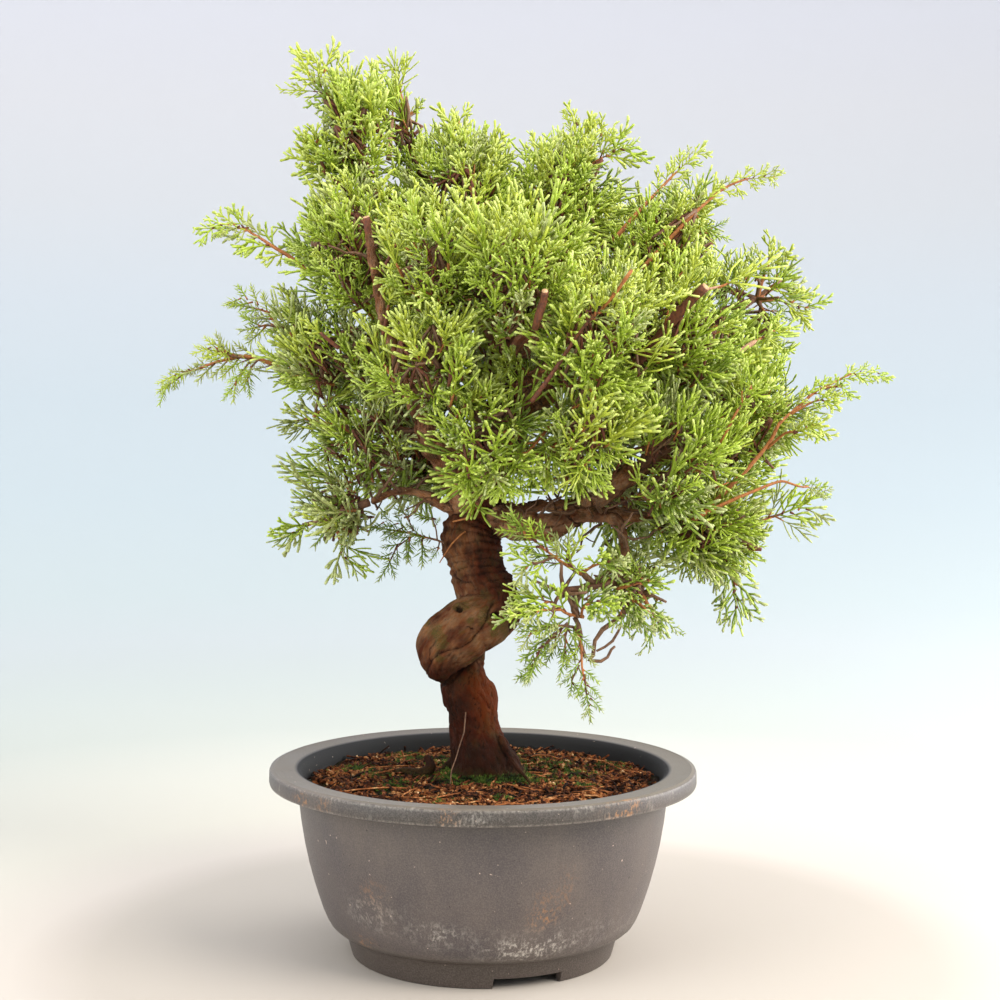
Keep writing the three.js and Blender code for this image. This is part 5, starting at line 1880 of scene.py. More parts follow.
@dataclass
class Crown:
    """Foliage grown by the solids' rule, mass by mass, and carried to finer twigs and sprays.

    Attributes:
        eye: where the plant is looked at from, for what shows from the front.
        per_mass: sprays over the whole shell of a mass 30 mm in radius.
        inner: sprays inside it.
        outside: a side whose own space runs this far is open.
        core_corners: random numbers that the solid's core takes before its branches.
        branches: branches of a mass, as in its solid.
        branch_share: how far they run, as a share of its radii.
        sparse: masses that are thinner than the rest, and by how much.
        loose: masses with more long fingers, and their share.
        grey: masses of a greyer green, and how much.
        dim: masses whose single shoots are darker, as painted shade, and by how much; their other sprays are
            half as much so.
        by_hand: masses that the single shoots make up.
        beside_droop: share of its sprays that the mass beside the droop bears of itself.
        spray_length: least and greatest length of a spray on a mass, mm.
        free: how far sprays stay off the wood, mm.
        branch_radii: radii of a branch at both ends, mm.
        twig_radii: the same of a twig.
        step: from one spray to the next along a shoot, mm.
        dead: dead twiglets on each bough.
    """

    skeleton: Skeleton
    eye: Point
    per_mass: int = 84
    inner: int = 20
    outside: float = 0.92
    core_corners: int = 42
    branches: int = 7
    branch_share: float = 0.42
    sparse: dict[str, float] = field(default_factory=lambda: {
        "front_low": 0.6, "front_left": 0.85, "front_right_low": 0.75, "left_bottom": 0.65, "left_low": 0.6,
        "apex_back": 0.6, "right_bottom": 1.1, "back_low_left": 0.7, "left_arm": 0.85,
    })
    loose: dict[str, float] = field(default_factory=lambda: {
        "front_low": 0.95, "front_left": 0.55, "front_right_low": 0.8, "left_low": 0.6, "left_bottom": 0.9,
        "right_low": 0.6, "right_bottom": 0.75, "apex_back": 0.7, "front_right": 0.4, "right_mid": 0.4,
        "back_low_left": 0.8, "back_low_right": 0.6, "front_centre": 0.35, "right_arm": 0.3,
    })
    grey: dict[str, float] = field(default_factory=lambda: {
        "left_bottom": 0.75, "left_arm": 0.35, "left_low": 0.35, "droop_front": 0.4, "droop_right": 0.35,
        "right_bottom": 0.25, "trunk_sprig": 0.9, "back_low_left": 0.8, "back_low_right": 0.6,
        "front_low": 0.1, "right_low": 0.15, "back_right": 0.4,
    })
    dim: dict[str, float] = field(default_factory=lambda: {
        "trunk_sprig": 0.45, "droop_front": 0.3, "droop_right": 0.3, "right_bottom": 0.2, "right_low": 0.16,
    })
    by_hand: tuple[str, ...] = ("droop_front", "trunk_sprig")
    beside_droop: float = 0.6
    spray_length: Flat = (17, 27)
    free: float = 2.5
    branch_radii: Flat = (1.1, 0.6)
    twig_radii: Flat = (0.85, 0.6)
    step: float = 3.3
    dead: int = 7
    sprays: Sprays = field(default_factory=Sprays)
    twigs: dict[Bark, Shape] = field(default_factory=lambda: {bark: Shape() for bark in Bark})
    stems: Shape = field(default_factory=Shape)
    cuts: Shape = field(default_factory=Shape)

    def grow(self) -> None:
        """Grows every mass, the single shoots and the dead twiglets."""
        for i, name in enumerate(MASSES):
            self.grow_mass(name, 101 + 7 * i, np.random.default_rng(5000 + i))
        rng = np.random.default_rng(777)
        for shoot in SHOOTS:
            self.single(shoot, rng)
        self.dead_twiglets(rng)
        LOG.info("%d sprays", len(self.sprays.root))

    def seen(self, points: Array) -> Array:
        """x and z at which points show on the upright plane through the bowl's axis."""
        e = np.array(self.eye)
        scale = -e[1] / (points[:, 1] - e[1])
        return e[[0, 2]] + (points[:, [0, 2]] - e[[0, 2]]) * scale[:, None]

    def shows(self, points: Array, rng: Draws) -> Array:
        """True for points outside every opening."""
        flat = self.seen(points)
        keep = np.ones(len(points), bool)
        for gap in OPENINGS:
            near = Wood.line_distance(flat, np.array(gap.line, float)) < gap.radius
            keep &= ~(near & (points[:, 1] < gap.back) & (rng.random(len(points)) < gap.share))
        return keep

    def grow_mass(self, name: str, seed: int, rng: Draws) -> None:
        """One mass: stem, branches as in the solid, then twigs and sprays."""
        sk, mass = self.skeleton, MASSES[name]
        draw = SeededDraw(seed)
        for _ in range(self.core_corners):
            draw.draw()
        if name == "trunk_sprig":
            return
        stem = along(sk.stems[name], np.linspace(0, 1, 8))
        self.stems.add(*tube(stem[:, :3], stem[:, 3], 8, 0.3))
        centre = np.array(mass.centre, float)
        heads = even_directions(self.branches, draw.draw)
        share = np.minimum(sk.reach(name, heads) - 0.1, self.branch_share)
        ends = sk.in_mass(name, heads, share)
        for end in ends:
            self.twig(centre, end, self.branch_radii, rng, BROWN, 6)
        amount = (mass.size / 30) ** 2 * self.sparse.get(name, 1.0)
        if name not in self.by_hand:
            borne = self.beside_droop if name == "droop_right" else 1
            self.shell(name, heads, ends, round(self.per_mass * amount * borne), rng)
            self.fill(name, centre, heads, ends, round(self.inner * amount), rng)
        for tip in mass.tips:
            if all(np.linalg.norm(np.array(s.course[-1]) - np.array(tip)) > 12 for s in SHOOTS):
                self.outstanding(name, centre, np.array(tip, float), rng)

    def twig(self, a: Array, b: Array, radii: Flat, rng: Draws, bark: Bark, sides: int = 4) -> None:
        """A slightly bent twig between two points."""
        a, b = np.asarray(a, float), np.asarray(b, float)
        sag = rng.normal(0, 0.07, 3) * np.linalg.norm(b - a)
        line = np.array([a, a * 0.62 + b * 0.38 + sag, b])
        self.twigs[bark].add(*tube(line, np.linspace(*radii, 3), sides, 0.3))

    def painted_light_at(self, point: Array, out: Array) -> float:
        """How light a spray is, as painted light: more towards the top and the outside, and uneven."""
        height = np.clip((point[2] - 150) / 260, 0, 1)
        uneven = cloud(np.array([point]) / 34, 77, 2)[0]
        light = 0.34 + 0.22 * height + 0.17 * out[2] - 0.05 * out[1] + 0.7 * (uneven - 0.5)
        return float(np.clip(light, 0, 1))

    def kind_for(self, name: str, out: Array, rng: Draws) -> SprayKind:
        """Which kind grows at a place."""
        fingers = self.loose.get(name, 0.14) + 0.2 * max(-out[2], 0)
        needles = 0.3 if name == "left_arm" and out[0] < -0.2 else 0.12 if name == "left_bottom" else 0.01
        draw = rng.random()
        if draw < needles:
            return NEEDLE
        if draw < needles + fingers:
            return FINGERS
        return LEADER if rng.random() < 0.16 else PLUME

    def lean(self, name: str, dirs: Array, rng: Draws) -> Array:
        """Ways the sprays of a mass point: outwards, with the bough that bears it, and up to the light."""
        mass = MASSES[name]
        start = self.skeleton.knots[mass.limb][0, :3] if mass.limb != "trunk" else np.array([-5.0, 0, 300])
        flow = unit(np.array(mass.centre, float) - start)
        up = 0.42 if mass.centre[2] > 235 else -0.02
        way = dirs * 0.72 + flow * 0.38 + np.array([0, 0, up]) + rng.normal(0, 0.16, dirs.shape)
        return unit(way)

    def shell(self, name: str, heads: Array, ends: Array, count: int, rng: Draws) -> None:
        """Sprays all over the outside of a mass, in clumps, each on its own twig."""
        sk = self.skeleton
        dirs = even_directions(count, rng.random)
        room = sk.reach(name, dirs, 1.0)
        open_side = room >= self.outside
        clump = smooth(0.32, 0.66, cloud(sk.in_mass(name, dirs, np.full(count, 0.9)) / 17, 88, 2))
        full = np.where(open_side, 0.7 + 0.27 * clump + rng.uniform(-0.05, 0.05, count), room - 0.06)
        edge, margin = np.array(CROWN_EDGE, float), rng.uniform(3.5, 8.5, count)
        for _ in range(6):
            outside = open_side & ~within(self.seen(sk.in_mass(name, dirs, full)), edge, margin)
            full = np.where(outside, full - 0.07, full)
        tips = sk.in_mass(name, dirs, full)
        ways = self.lean(name, dirs, rng)
        length = rng.uniform(*self.spray_length, count) * (0.85 + 0.3 * clump)
        roots = tips - ways * length[:, None]
        keep = (room > 0.5) & (open_side | (rng.random(count) < 0.5))
        keep &= rng.random(count) < 0.62 + 0.5 * clump
        middles = (tips + roots) / 2
        keep &= sk.own(name, tips) & (sk.clearance(tips, sk.wood) >= self.free)
        keep &= sk.clearance(middles, sk.wood) >= 1.5
        keep &= self.shows(tips - ways * 3, rng) & self.shows(middles, rng)
        keep &= within(self.seen(tips), edge, margin * 0.5)
        grey = self.grey.get(name, 0.04)
        for i in np.flatnonzero(keep):
            nearest = int(np.argmax(heads @ dirs[i]))
            facing = unit(ways[i] + rng.normal(0, 0.9, 3))
            bark = RED if rng.random() < 0.5 else BROWN
            self.twig(ends[nearest], roots[i] + ways[i], self.twig_radii, rng, bark)
            kind = self.kind_for(name, dirs[i], rng)
            # Painted light by place, less on the dim masses as painted shade.
            light = self.painted_light_at(tips[i], dirs[i]) - 0.5 * self.dim.get(name, 0)
            self.sprays.add(roots[i], tips[i], facing, kind, light, grey, name)

    def fill(self, name: str, centre: Array, heads: Array, ends: Array, count: int, rng: Draws) -> None:
        """Fewer sprays inside a mass, darker as painted shade."""
        sk = self.skeleton
        dirs = even_directions(count, rng.random)
        room = sk.reach(name, dirs, 0.75)
        tips = sk.in_mass(name, dirs, np.minimum(rng.uniform(0.4, 0.68, count), room - 0.04))
        keep = (room > 0.4) & sk.own(name, tips) & (sk.clearance(tips, sk.wood) >= self.free)
        keep &= self.shows(tips, rng)
        for i in np.flatnonzero(keep):
            nearest = int(np.argmax(heads @ dirs[i]))
            root = centre + (ends[nearest] - centre) * rng.uniform(0.3, 0.9)
            gap = tips[i] - root
            length = np.linalg.norm(gap)
            if length < 9:
                continue
            root = tips[i] - gap / length * min(length, 20)
            kind = FINGERS if rng.random() < 0.7 else NEEDLE
            # Low painted light: inner sprays are dark as painted shade.
            self.sprays.add(root, tips[i], unit(rng.normal(0, 1, 3)), kind, 0.12, 0.2, name)

    def outstanding(self, name: str, centre: Array, tip: Array, rng: Draws) -> None:
        """A shoot that stands out of the mass, with sprays by turns on its two sides."""
        gap = (tip - centre) * 0.88
        way = unit(gap)
        bow = np.array([0, 0, 1.0]) - way * way[2]
        bend = bow * np.linalg.norm(gap) * 0.06 * (1 if tip[2] > centre[2] - 20 else -0.5)
        course = tuple(tuple(p) for p in (centre, centre + gap * 0.5 + bend, centre + gap))
        loose = self.loose.get(name, 0.1) > 0.5
        kind = NEEDLE if name == "left_arm" else FINGERS if loose else LEADER
        self.single(Shoot(name, course, 1.5, 0.5, ORANGE, kind, 0.45, (16, 8)), rng)

    def single(self, shoot: Shoot, rng: Draws) -> None:
        """One shoot with its sprays, or one bare twig."""
        knots = np.array(shoot.course, float)
        length = float(np.linalg.norm(np.diff(knots, axis=0), axis=1).sum())
        bare = shoot.kind is None
        end = 1.0 if bare else 1 - min(24, 0.5 * length) / length
        steps = np.linspace(0, end, max(6, int(length / 4)))
        line = along(knots, steps)
        bow = (1.6 if bare else 0.8) * (steps * (1 - steps) * 4)[:, None]
        line = line + (fan_noise(line / 6, 301)[:, None] - 0.5) * bow
        radii = shoot.root + (shoot.tip - shoot.root) * steps / end
        if bare:
            radii = radii * (0.88 + 0.3 * fan_noise(line / 2.6, 302))
        sides, tail = 7 if shoot.root > 1.4 else 5, 0.15 if shoot.cut else 0.5
        self.twigs[shoot.bark].add(*tube(line, radii, sides, tail))
        if shoot.cut:
            way = unit(line[-1] - line[-2])
            face = np.array([line[-1] - way * 0.2, line[-1] + way * 0.5])
            self.cuts.add(*tube(face, radii[-1] * np.array([0.86, 0.82]), 9, 0.1))
        if bare:
            return
        tip, ahead = knots[-1], unit(knots[-1] - line[-1])
        # Painted light: shoots that stand out are lighter, those of the dim masses darker as painted shade.
        light = self.painted_light_at(tip, ahead) + 0.12 - self.dim.get(shoot.mass, 0)
        grey = self.grey.get(shoot.mass, 0.04)
        leader = shoot.kind if shoot.kind in (NEEDLE, FINGERS) else LEADER
        self.sprays.add(line[-1] - ahead * 2, tip, np.array([0, -1, 0.2]), leader, light, grey, shoot.mass)
        at, turn = shoot.first * length, rng.uniform(0, ANY_TURN)
        side = unit(np.cross(ahead, [0.2, -1, 0.3]))
        while at < length - 6:
            share = at / length
            root = along(knots, share)[0]
            way = unit(along(knots, min(share + 0.03, 1))[0] - root)
            around = side * math.cos(turn) + np.cross(way, side) * math.sin(turn) * 0.7
            out = unit(way + unit(around) * rng.uniform(0.65, 1.0))
            near, far = shoot.reach
            span = near + (far - near) * (share - shoot.first) / (1 - shoot.first)
            span *= rng.uniform(0.8, 1.15)
            kind = shoot.kind
            if kind is LEADER and rng.random() < 0.5:
                kind = PLUME
            facing = unit(np.array([rng.uniform(-0.5, 0.5), -1, 0.3]))
            self.sprays.add(root, root + out * span, facing, kind, light, grey, shoot.mass)
            at += self.step
            turn += math.pi + rng.uniform(-0.5, 0.5)

    def dead_twiglets(self, rng: Draws) -> None:
        """Crooked bare twiglets along the boughs inside the crown."""
        for name in LIMBS:
            knots = self.skeleton.knots[name]
            for _ in range(self.dead):
                start = along(knots, rng.uniform(0.15, 0.95))[0, :3]
                way = unit(np.array([rng.normal(), rng.normal() - 0.4, rng.normal() + 0.2]))
                steps = [start]
                for _ in range(int(rng.integers(4, 8))):
                    way = unit(way + rng.normal(0, 0.35, 3))
                    steps.append(steps[-1] + way * rng.uniform(2.5, 5))
                line = np.array(steps)
                thick = rng.uniform(0.4, 0.9)
                brown = self.twigs[BROWN]
                brown.add(*tube(line, np.linspace(thick * 1.4, thick * 0.6, len(line)), 4, 0.5))
                fork = line[len(line) // 2]
                twist = unit(way + rng.normal(0, 0.8, 3))
                side = np.array([fork, fork + twist * 4, fork + twist * 7 + rng.normal(0, 1, 3)])
                brown.add(*tube(side, np.array([0.8, 0.6, 0.45]) * thick, 3, 0.5))


@dataclass
class Foliage:
    """Meshes of the foliage and its twigs, made from where the crown says they grow.

    Attributes:
        most_faces: faces a piece may have.
        cord_light: painted light from which a spray's cords are green, and olive.
        end_light: painted light from which its ends are fresh green, and lime.
        ruddy: share of the sprays with an orange axis.
    """

    crown: Crown
    most_faces: int = 185_000
    cord_light: Flat = (0.22, 0.56)
    end_light: Flat = (0.14, 0.5)
    ruddy: float = 0.4

    def tones(self, rng: Draws) -> tuple[Array, Array]:
        """Which colour each spray's cords and ends have, as numbers, by its painted light."""
        sprays = self.crown.sprays
        count = len(sprays.root)
        light = np.clip(np.array(sprays.light) + rng.normal(0, 0.1, count), 0, 1)
        cool = rng.random(count) < np.array(sprays.cool)
        green, olive = self.cord_light
        fresh, lime = self.end_light
        cord = np.where(light < green, 0, np.where(cool, 3, np.where(light < olive, 1, 2)))
        end = np.where(cool | (light < fresh), 0, np.where(light < lime, 1, 2))
        return cord, end

    def build(self, bench: Workbench, scatter: Scatter) -> None:
        """Plants every spray, by colour."""
        maker, sprays = SprayMaker(), self.crown.sprays
        rng = np.random.default_rng(41)
        parts = {"wood": maker.wood, "cord": maker.cords, "end": maker.ends}
        shelves = {key: scatter.shelf("spray_" + key, shapes) for key, shapes in parts.items()}
        roots, turns = np.array(sprays.root), sprays.turns()
        form = np.array([maker.first[k][0] + rng.integers(maker.first[k][1]) for k in sprays.kind])
        size = np.array(sprays.length) / np.array(maker.lengths)[form]
        mass = np.array(sprays.mass)
        cord, end = self.tones(rng)
        ruddy = rng.random(len(roots)) < self.ruddy
        tones = [tone.value for tone in LeafTone]
        runs = [(finish.name, part, picked == i, finish.make())
                for part, picked, finishes in (("cord", cord, tones[:4]), ("end", end, tones[4:]))
                for i, finish in enumerate(finishes)]
        barks = {bark: bark.value.make() for bark in Bark}
        runs += [("spray_axes_orange", "wood", ruddy, barks[ORANGE]),
                 ("spray_axes_red", "wood", ~ruddy, barks[RED])]
        for name, part, pick, material in runs:
            rows = np.flatnonzero(pick)
            if not len(rows):
                continue
            faces = np.array([len(parts[part][f][1]) for f in form[rows]]).sum()
            pieces = max(1, math.ceil(faces / self.most_faces))
            rows = rows[np.argsort(roots[rows, 0], kind="stable")]
            for n, chunk in enumerate(np.array_split(rows, pieces)):
                label = name if pieces == 1 else f"{name}_{n + 1}"
                grown_at = (roots[chunk], form[chunk], size[chunk], turns[chunk])
                made = scatter.plant(label, shelves[part], *grown_at, material)
                bench.settle(made, "foliage", sorted(set(mass[chunk])))
        scatter.discard(*shelves.values())
        for bark, shape in self.crown.twigs.items():
            bench.settle(bench.mesh("twigs_" + bark.name.lower(), *shape.arrays()), "bark", (), barks[bark])
        for name, shape, finish in (
            ("stems", self.crown.stems, TwigFinish("stem_bark", "#84593f", "#43261a")),
            ("cut_ends", self.crown.cuts, TwigFinish("cut_wood", "#dcb48c", "#b98a62")),
        ):
            bench.settle(bench.mesh(name, *shape.arrays()), "bark", (), finish.make())


# Soil


@dataclass
class SoilBed:
    """Soil's surface with litter, moss and straw.

    Attributes:
        radius: out to the bowl's wall, mm.
        edge: height at the wall, mm.
        crown: height at the trunk, mm.
        covered: out to where litter lies, mm.
        cushions: cushions of moss: x, y and width, mm.
        pellets: round bits.
        shreds: bark shreds.
        chips: flat bark chips.
        tufts: moss tufts.
        straws: long fibres.
    """

    radius: float = 83.6
    edge: float = 79.6
    crown: float = 81.9
    covered: float = 81.0
    cushions: tuple[Point, ...] = (
        (-14, -16, 10), (4, -20, 9), (-24, -4, 10), (-42, -20, 9), (-62, 22, 9), (24, -8, 12), (40, 6, 12),
        (60, 30, 10), (30, 34, 16), (-30, 40, 15), (-50, 4, 9), (10, 50, 16), (48, -20, 6), (-8, 30, 14),
        (-40, 58, 9), (8, -44, 5), (-20, -52, 5),
    )
    pellets: int = 2300
    shreds: int = 1300
    chips: int = 1300
    tufts: int = 2650
    straws: int = 110

    def height(self, x: Array, y: Array) -> Array:
        """Height of the surface at a place, mm."""
        r = np.hypot(x, y)
        base = self.crown + (self.edge - self.crown) * smooth(24, 82, r)
        p = np.stack([x, y, np.zeros_like(x)], -1)
        return base + (cloud(p / 9, 5, 3) - 0.5) * 3.6 + (cloud(p / 2.6, 6, 2) - 0.5) * 1.1

    def build(self, bench: Workbench, scatter: Scatter) -> None:
        """Makes the bed and what lies on it."""
        rng = np.random.default_rng(77)
        rings, sides = 100, 200
        r, a = np.linspace(0, self.radius, rings + 1)[1:, None], round_angles(sides)
        x, y = np.append(r * np.cos(a), 0), np.append(r * np.sin(a), 0)
        bed = bench.mesh("soil_bed", np.stack([x, y, self.height(x, y)], -1), disc_faces(sides, rings))
        bench.settle(bed, "soil", ["soil"], SoilFinish().make())
        self.litter(bench, scatter, rng)

    def spots(self, count: int, rng: Draws, lift: float) -> Array:
        """Random places on the bed, clear of the wall."""
        r = np.sqrt(rng.uniform(0, 1, count)) * self.covered
        a = rng.uniform(0, CIRCLE, count)
        x, y = r * np.cos(a), r * np.sin(a)
        return np.stack([x, y, self.height(x, y) + lift], -1)

    def litter(self, bench: Workbench, scatter: Scatter, rng: Draws) -> None:
        """Pellets, chips, shreds, dark bits, moss and straw."""
        jobs = (
            ("litter_pellets", [self.pellet(rng) for _ in range(5)], self.pellets, 0.5, (0.6, 1.7), 3.1,
             CrumbFinish("pumice_and_clay", ("#1a0d06", "#5c341c", "#9a6a3e", "#e6c9a0"))),
            ("litter_chips", [self.pellet(rng, 0.3) for _ in range(6)], self.chips, 0.6, (0.7, 2.6), 0.7,
             CrumbFinish("bark_chips", ("#0d0603", "#3a1d0e", "#7a4421", "#c08149"))),
            ("litter_shreds", [self.shred(rng) for _ in range(6)], self.shreds, 0.4, (0.6, 1.7), 0.35,
             CrumbFinish("bark_shreds", ("#0d0603", "#30170b", "#6e3a1c", "#bd8450"))),
            ("litter_dark", [self.shred(rng) for _ in range(4)], self.shreds // 2, 0.3, (0.6, 1.4), 0.25,
             CrumbFinish("dark_bits", ("#060403", "#150c08", "#2b1810"))),
        )
        for name, shapes, count, lift, sizes, tilt, finish in jobs:
            self.strew(scatter, rng, name, shapes, self.spots(count, rng, lift), sizes, tilt, finish)
        self.moss(scatter, rng)
        self.straw(bench, rng)

    @staticmethod
    def strew(scatter: Scatter, rng: Draws, name: str, shapes: Sequence[tuple[Array, Array]],
              places: Array, sizes: Flat, tilt: float, finish: CrumbFinish) -> None:
        """Makes one piece of small shapes.

        Args:
            scatter: what plants them.
            rng: random numbers.
            name: the piece's name.
            shapes: shapes to pick from.
            places: where they lie, mm.
            sizes: least and greatest scale.
            tilt: how far they lean, radians.
            finish: their finish.
        """
        n, shelf = len(places), scatter.shelf(name + "_shape", shapes)
        turn = np.stack([rng.normal(0, tilt, n), rng.normal(0, tilt, n), rng.uniform(0, ANY_TURN, n)], -1)
        form, size = rng.integers(0, len(shapes), n), rng.uniform(*sizes, n)
        scatter.bench.settle(scatter.plant(name, shelf, places, form, size, turn, finish.make()), "soil")
        scatter.discard(shelf)

    @staticmethod
    def pellet(rng: Draws, flat: float = 0.8) -> tuple[Array, Array]:
        """A small lumpy grain, 2 mm across, or a flat chip."""
        g = (1 + 5**0.5) / 2
        p = np.array([
            (-1, g, 0), (1, g, 0), (-1, -g, 0), (1, -g, 0), (0, -1, g), (0, 1, g), (0, -1, -g), (0, 1, -g),
            (g, 0, -1), (g, 0, 1), (-g, 0, -1), (-g, 0, 1),
        ], float) / 1.9
        faces = np.array([
            (0, 11, 5), (0, 5, 1), (0, 1, 7), (0, 7, 10), (0, 10, 11), (1, 5, 9), (5, 11, 4), (11, 10, 2),
            (10, 7, 6), (7, 1, 8), (3, 9, 4), (3, 4, 2), (3, 2, 6), (3, 6, 8), (3, 8, 9), (4, 9, 5),
            (2, 4, 11), (6, 2, 10), (8, 6, 7), (9, 8, 1),
        ])
        return p * rng.uniform(0.7, 1.25, (12, 1)) * np.array([1, 0.85, flat]), faces

    @staticmethod
    def shred(rng: Draws) -> tuple[Array, Array]:
        """A thin bent shred about 6 mm long."""
        n = 4
        t = np.linspace(-1, 1, n)
        x, y = t * rng.uniform(1.8, 4.2), rng.normal(0, 0.35, n)
        line = np.stack([x, y, rng.uniform(0.1, 0.9) * (1 - t**2)], -1)
        points, faces = tube(line, np.full(n, rng.uniform(0.3, 0.6)), 4, 0.6)
        squash = np.array([1, 1, 0.55])
        return points * squash, faces

    def moss(self, scatter: Scatter, rng: Draws) -> None:
        """Moss round the trunk's foot and in cushions on the soil."""
        shapes = []
        for _ in range(5):
            shape = Shape()
            for _ in range(9):
                way = unit(np.array([rng.normal(0, 0.6), rng.normal(0, 0.6), 1.0]))
                tip = way * rng.uniform(0.9, 1.9)
                shape.add(*SprayMaker.needle(np.array([0, 0, -0.2]), tip, rng.uniform(0.16, 0.28)))
            shapes.append(shape.arrays())
        spots = []
        for x, y, wide in self.cushions:
            n = int(self.tufts * wide**2 / 1850)
            spots.append(np.stack([rng.normal(x, wide * 0.5, n), rng.normal(y, wide * 0.5, n)], -1))
        ring = rng.uniform(0, CIRCLE, self.tufts // 4)
        r = rng.uniform(13, 22, self.tufts // 4)
        spots.append(np.stack([2 + r * np.cos(ring), r * np.sin(ring)], -1))
        spots = np.concatenate(spots)
        spots = spots[np.hypot(*spots.T) < 80]
        z = self.height(spots[:, 0], spots[:, 1])
        near = smooth(24, 14, np.hypot(spots[:, 0] - 2, spots[:, 1]))
        places = np.column_stack([spots, z + 0.2 + near * rng.uniform(0, 3.0, len(spots))])
        finish = CrumbFinish("moss_green", ("#121a09", "#2d3d12", "#526624", "#8b9140"), 0.7)
        self.strew(scatter, rng, "moss", shapes, places, (0.75, 1.6), 0.35, finish)

    def straw(self, bench: Workbench, rng: Draws) -> None:
        """Long dry fibres on top."""
        shape = Shape()
        for _ in range(self.straws):
            a, r = rng.uniform(0, CIRCLE), 74 * math.sqrt(rng.random())
            way, length = rng.uniform(0, math.pi), rng.uniform(9, 42)
            t = np.linspace(-0.5, 0.5, 6)
            x = r * math.cos(a) + t * length * math.cos(way) + rng.normal(0, 0.5, 6)
            y = r * math.sin(a) + t * length * math.sin(way) + rng.normal(0, 0.5, 6)
            if np.hypot(x, y).max() >= 80:
                continue
            z = self.height(x, y) + 0.6 + rng.uniform(0, 1.6) * (1 - (2 * t) ** 2)
            shape.add(*tube(np.stack([x, y, z], -1), np.full(6, rng.uniform(0.24, 0.5)), 4, 0.6))
        straw = bench.mesh("straw", *shape.arrays())
        finish = CrumbFinish("dry_straw", ("#5c341c", "#9a5e34", "#d0a472"), 0.7)
        bench.settle(straw, "soil", (), finish.make())


# Studio


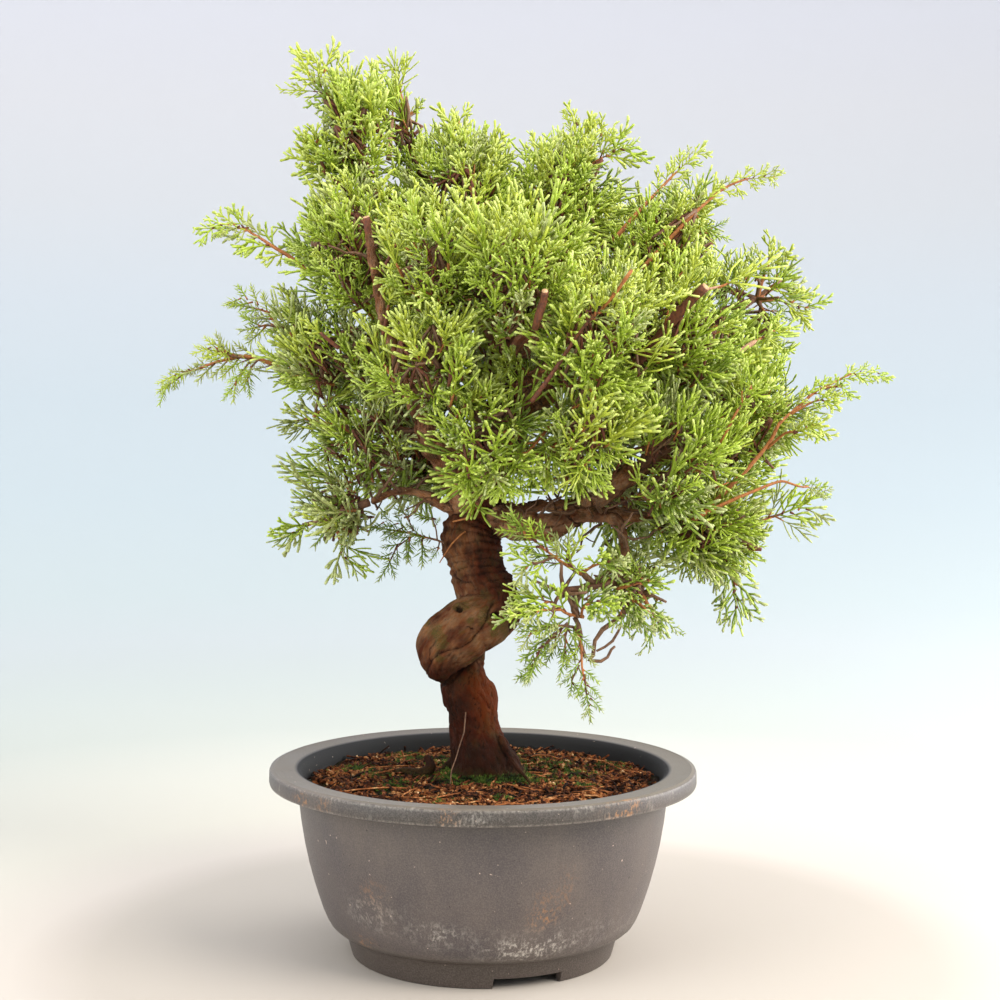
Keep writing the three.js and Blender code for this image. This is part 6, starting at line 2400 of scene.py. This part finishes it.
@dataclass
class Studio:
    """Floor, soft light and camera.

    Attributes:
        paper: the sheet's colours, from its middle outwards and up: a warm to cool tint with the fall of
            light over it painted in.
        eye: camera's place about the bowl's axis, mm.
        pitch: how far it looks down, degrees.
        roll: its roll, degrees.
        lens: focal length, mm, on a 36 mm sensor.
        level: how far out the sheet lies flat, m.
        rise: how far it then runs and how high it curves up, m.
        top: height of its edge, m.
        sky: colour and strength of the even light.
        lamps: each soft lamp's place and width, m, power, W, and colour.
        aim: where they look, m.
    """

    paper: tuple[tuple[float, str], ...] = (
        (0.042, "#b9b1a7"), (0.044, "#c6bdb4"), (0.062, "#c7c3b7"), (0.089, "#c1c0b6"), (0.122, "#b6bab3"),
        (0.168, "#b6bcb8"), (0.227, "#b8bebe"), (0.279, "#b5bebe"), (0.369, "#b2bcbf"), (0.453, "#b2bbbf"),
        (0.535, "#b7bdc1"), (0.616, "#bdbfc1"), (0.699, "#c2c2c4"), (0.774, "#c4c4c8"),
    )
    eye: Point = (7.07, -850.0, 254.97)
    pitch: float = 2.866
    roll: float = 0.391
    lens: float = 65.56
    level: float = 0.9
    rise: Flat = (2.4, 2.9)
    top: float = 4.0
    sky: tuple[str, float] = ("#f1f4fb", 1.9)
    lamps: dict[str, tuple[Point, float, float, str]] = field(default_factory=lambda: {
        "key": ((1.2, -0.9, 1.3), 1.2, 38, "#fff8ee"),
        "fill": ((-1.4, -1.0, 0.9), 1.4, 22, "#fbfaf4"),
        "side": ((1.5, 0.5, 0.6), 1.2, 26, "#ffffff"),
    })
    aim: Point = (0, 0, 0.22)

    def build(self, bench: Workbench) -> None:
        """Makes them all."""
        self.camera(bench)
        self.sweep(bench)
        self.lights()
        bpy.context.scene.view_settings.view_transform = "Standard"

    def camera(self, bench: Workbench) -> None:
        """The camera at the photograph's viewing angle."""
        data = bpy.data.cameras.new("camera")
        data.lens, data.sensor_width = self.lens, 36
        data.clip_start, data.clip_end = 0.02, 20
        camera = bpy.data.objects.new("camera", data)
        bpy.context.scene.collection.objects.link(camera)
        place = Matrix.Translation(Vector(np.array(self.eye) * MM + bench.axis))
        tilt, roll = math.radians(90 - self.pitch), math.radians(self.roll)
        turn = Matrix.Rotation(tilt, 4, "X") @ Matrix.Rotation(roll, 4, "Z")
        camera.matrix_world = place @ turn
        bpy.context.scene.camera = camera

    def sweep(self, bench: Workbench) -> None:
        """A pale floor that curves up into a round backdrop."""
        run, climb = self.rise
        profile = [(0.5, 0.0), (self.level, 0.0)]
        profile += [(self.level + run * u, climb * u**2.6) for u in np.linspace(0.06, 1, 26)]
        profile += [(self.level + run, self.top)]
        sides = 96
        rings = [(r * math.cos(t), r * math.sin(t), z) for r, z in profile for t in round_angles(sides)]
        floor = bench.raw("floor", np.array(rings + [(0, 0, 0)]), disc_faces(sides, len(profile)))
        b = NodeBoard("pale_paper")
        place = b.make("ShaderNodeTexCoord").outputs["Object"]
        level = b.make("ShaderNodeVectorMath", operation="MULTIPLY")
        level.inputs[1].default_value = (1, 1, 0)
        b.join(place, level.inputs[0])
        away = b.make("ShaderNodeVectorMath", operation="LENGTH")
        b.join(level.outputs[0], away.inputs[0])
        split = b.make("ShaderNodeSeparateXYZ")
        b.join(place, split.inputs[0])
        along_sheet = b.maths("ADD", away.outputs["Value"], b.times(split.outputs["Z"], 1.5))
        # Painted light: the sheet's colours grade its light and shade from the middle out and up.
        b.finish(b.ramp(b.span(along_sheet, 0.0, 5.0), self.paper))
        b.fix(Roughness=0.9, Specular_IOR_Level=0.1)
        floor.data.materials.append(b.material)

    def lights(self) -> None:
        """Large soft lights and an even sky."""
        world = bpy.data.worlds.new("soft_sky")
        world.use_nodes = True
        even = world.node_tree.nodes["Background"]
        colour, strength = self.sky
        even.inputs["Color"].default_value = srgb(colour)
        even.inputs["Strength"].default_value = strength
        bpy.context.scene.world = world
        for name, (place, size, power, colour) in self.lamps.items():
            data = bpy.data.lights.new(name, "AREA")
            data.shape, data.size, data.energy, data.color = "DISK", size, power, srgb(colour)[:3]
            light = bpy.data.objects.new(name, data)
            bpy.context.scene.collection.objects.link(light)
            look = (Vector(self.aim) - Vector(place)).to_track_quat("-Z", "Y")
            light.matrix_world = Matrix.Translation(Vector(place)) @ look.to_matrix().to_4x4()


# All together


def main() -> None:
    """Builds the looks piece by piece."""
    logging.basicConfig(level=logging.INFO, format="%(message)s")
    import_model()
    low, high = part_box("pot")
    bench = Workbench((low + high) / 2)
    studio = Studio()
    studio.build(bench)
    scatter = Scatter(bench)
    TrainingBowl().build(bench)
    SoilBed().build(bench, scatter)
    skeleton = Skeleton()
    Wood(skeleton).build(bench)
    crown = Crown(skeleton, studio.eye)
    crown.grow()
    Foliage(crown).build(bench, scatter)
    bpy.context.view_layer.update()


if __name__ == "__main__":
    main()
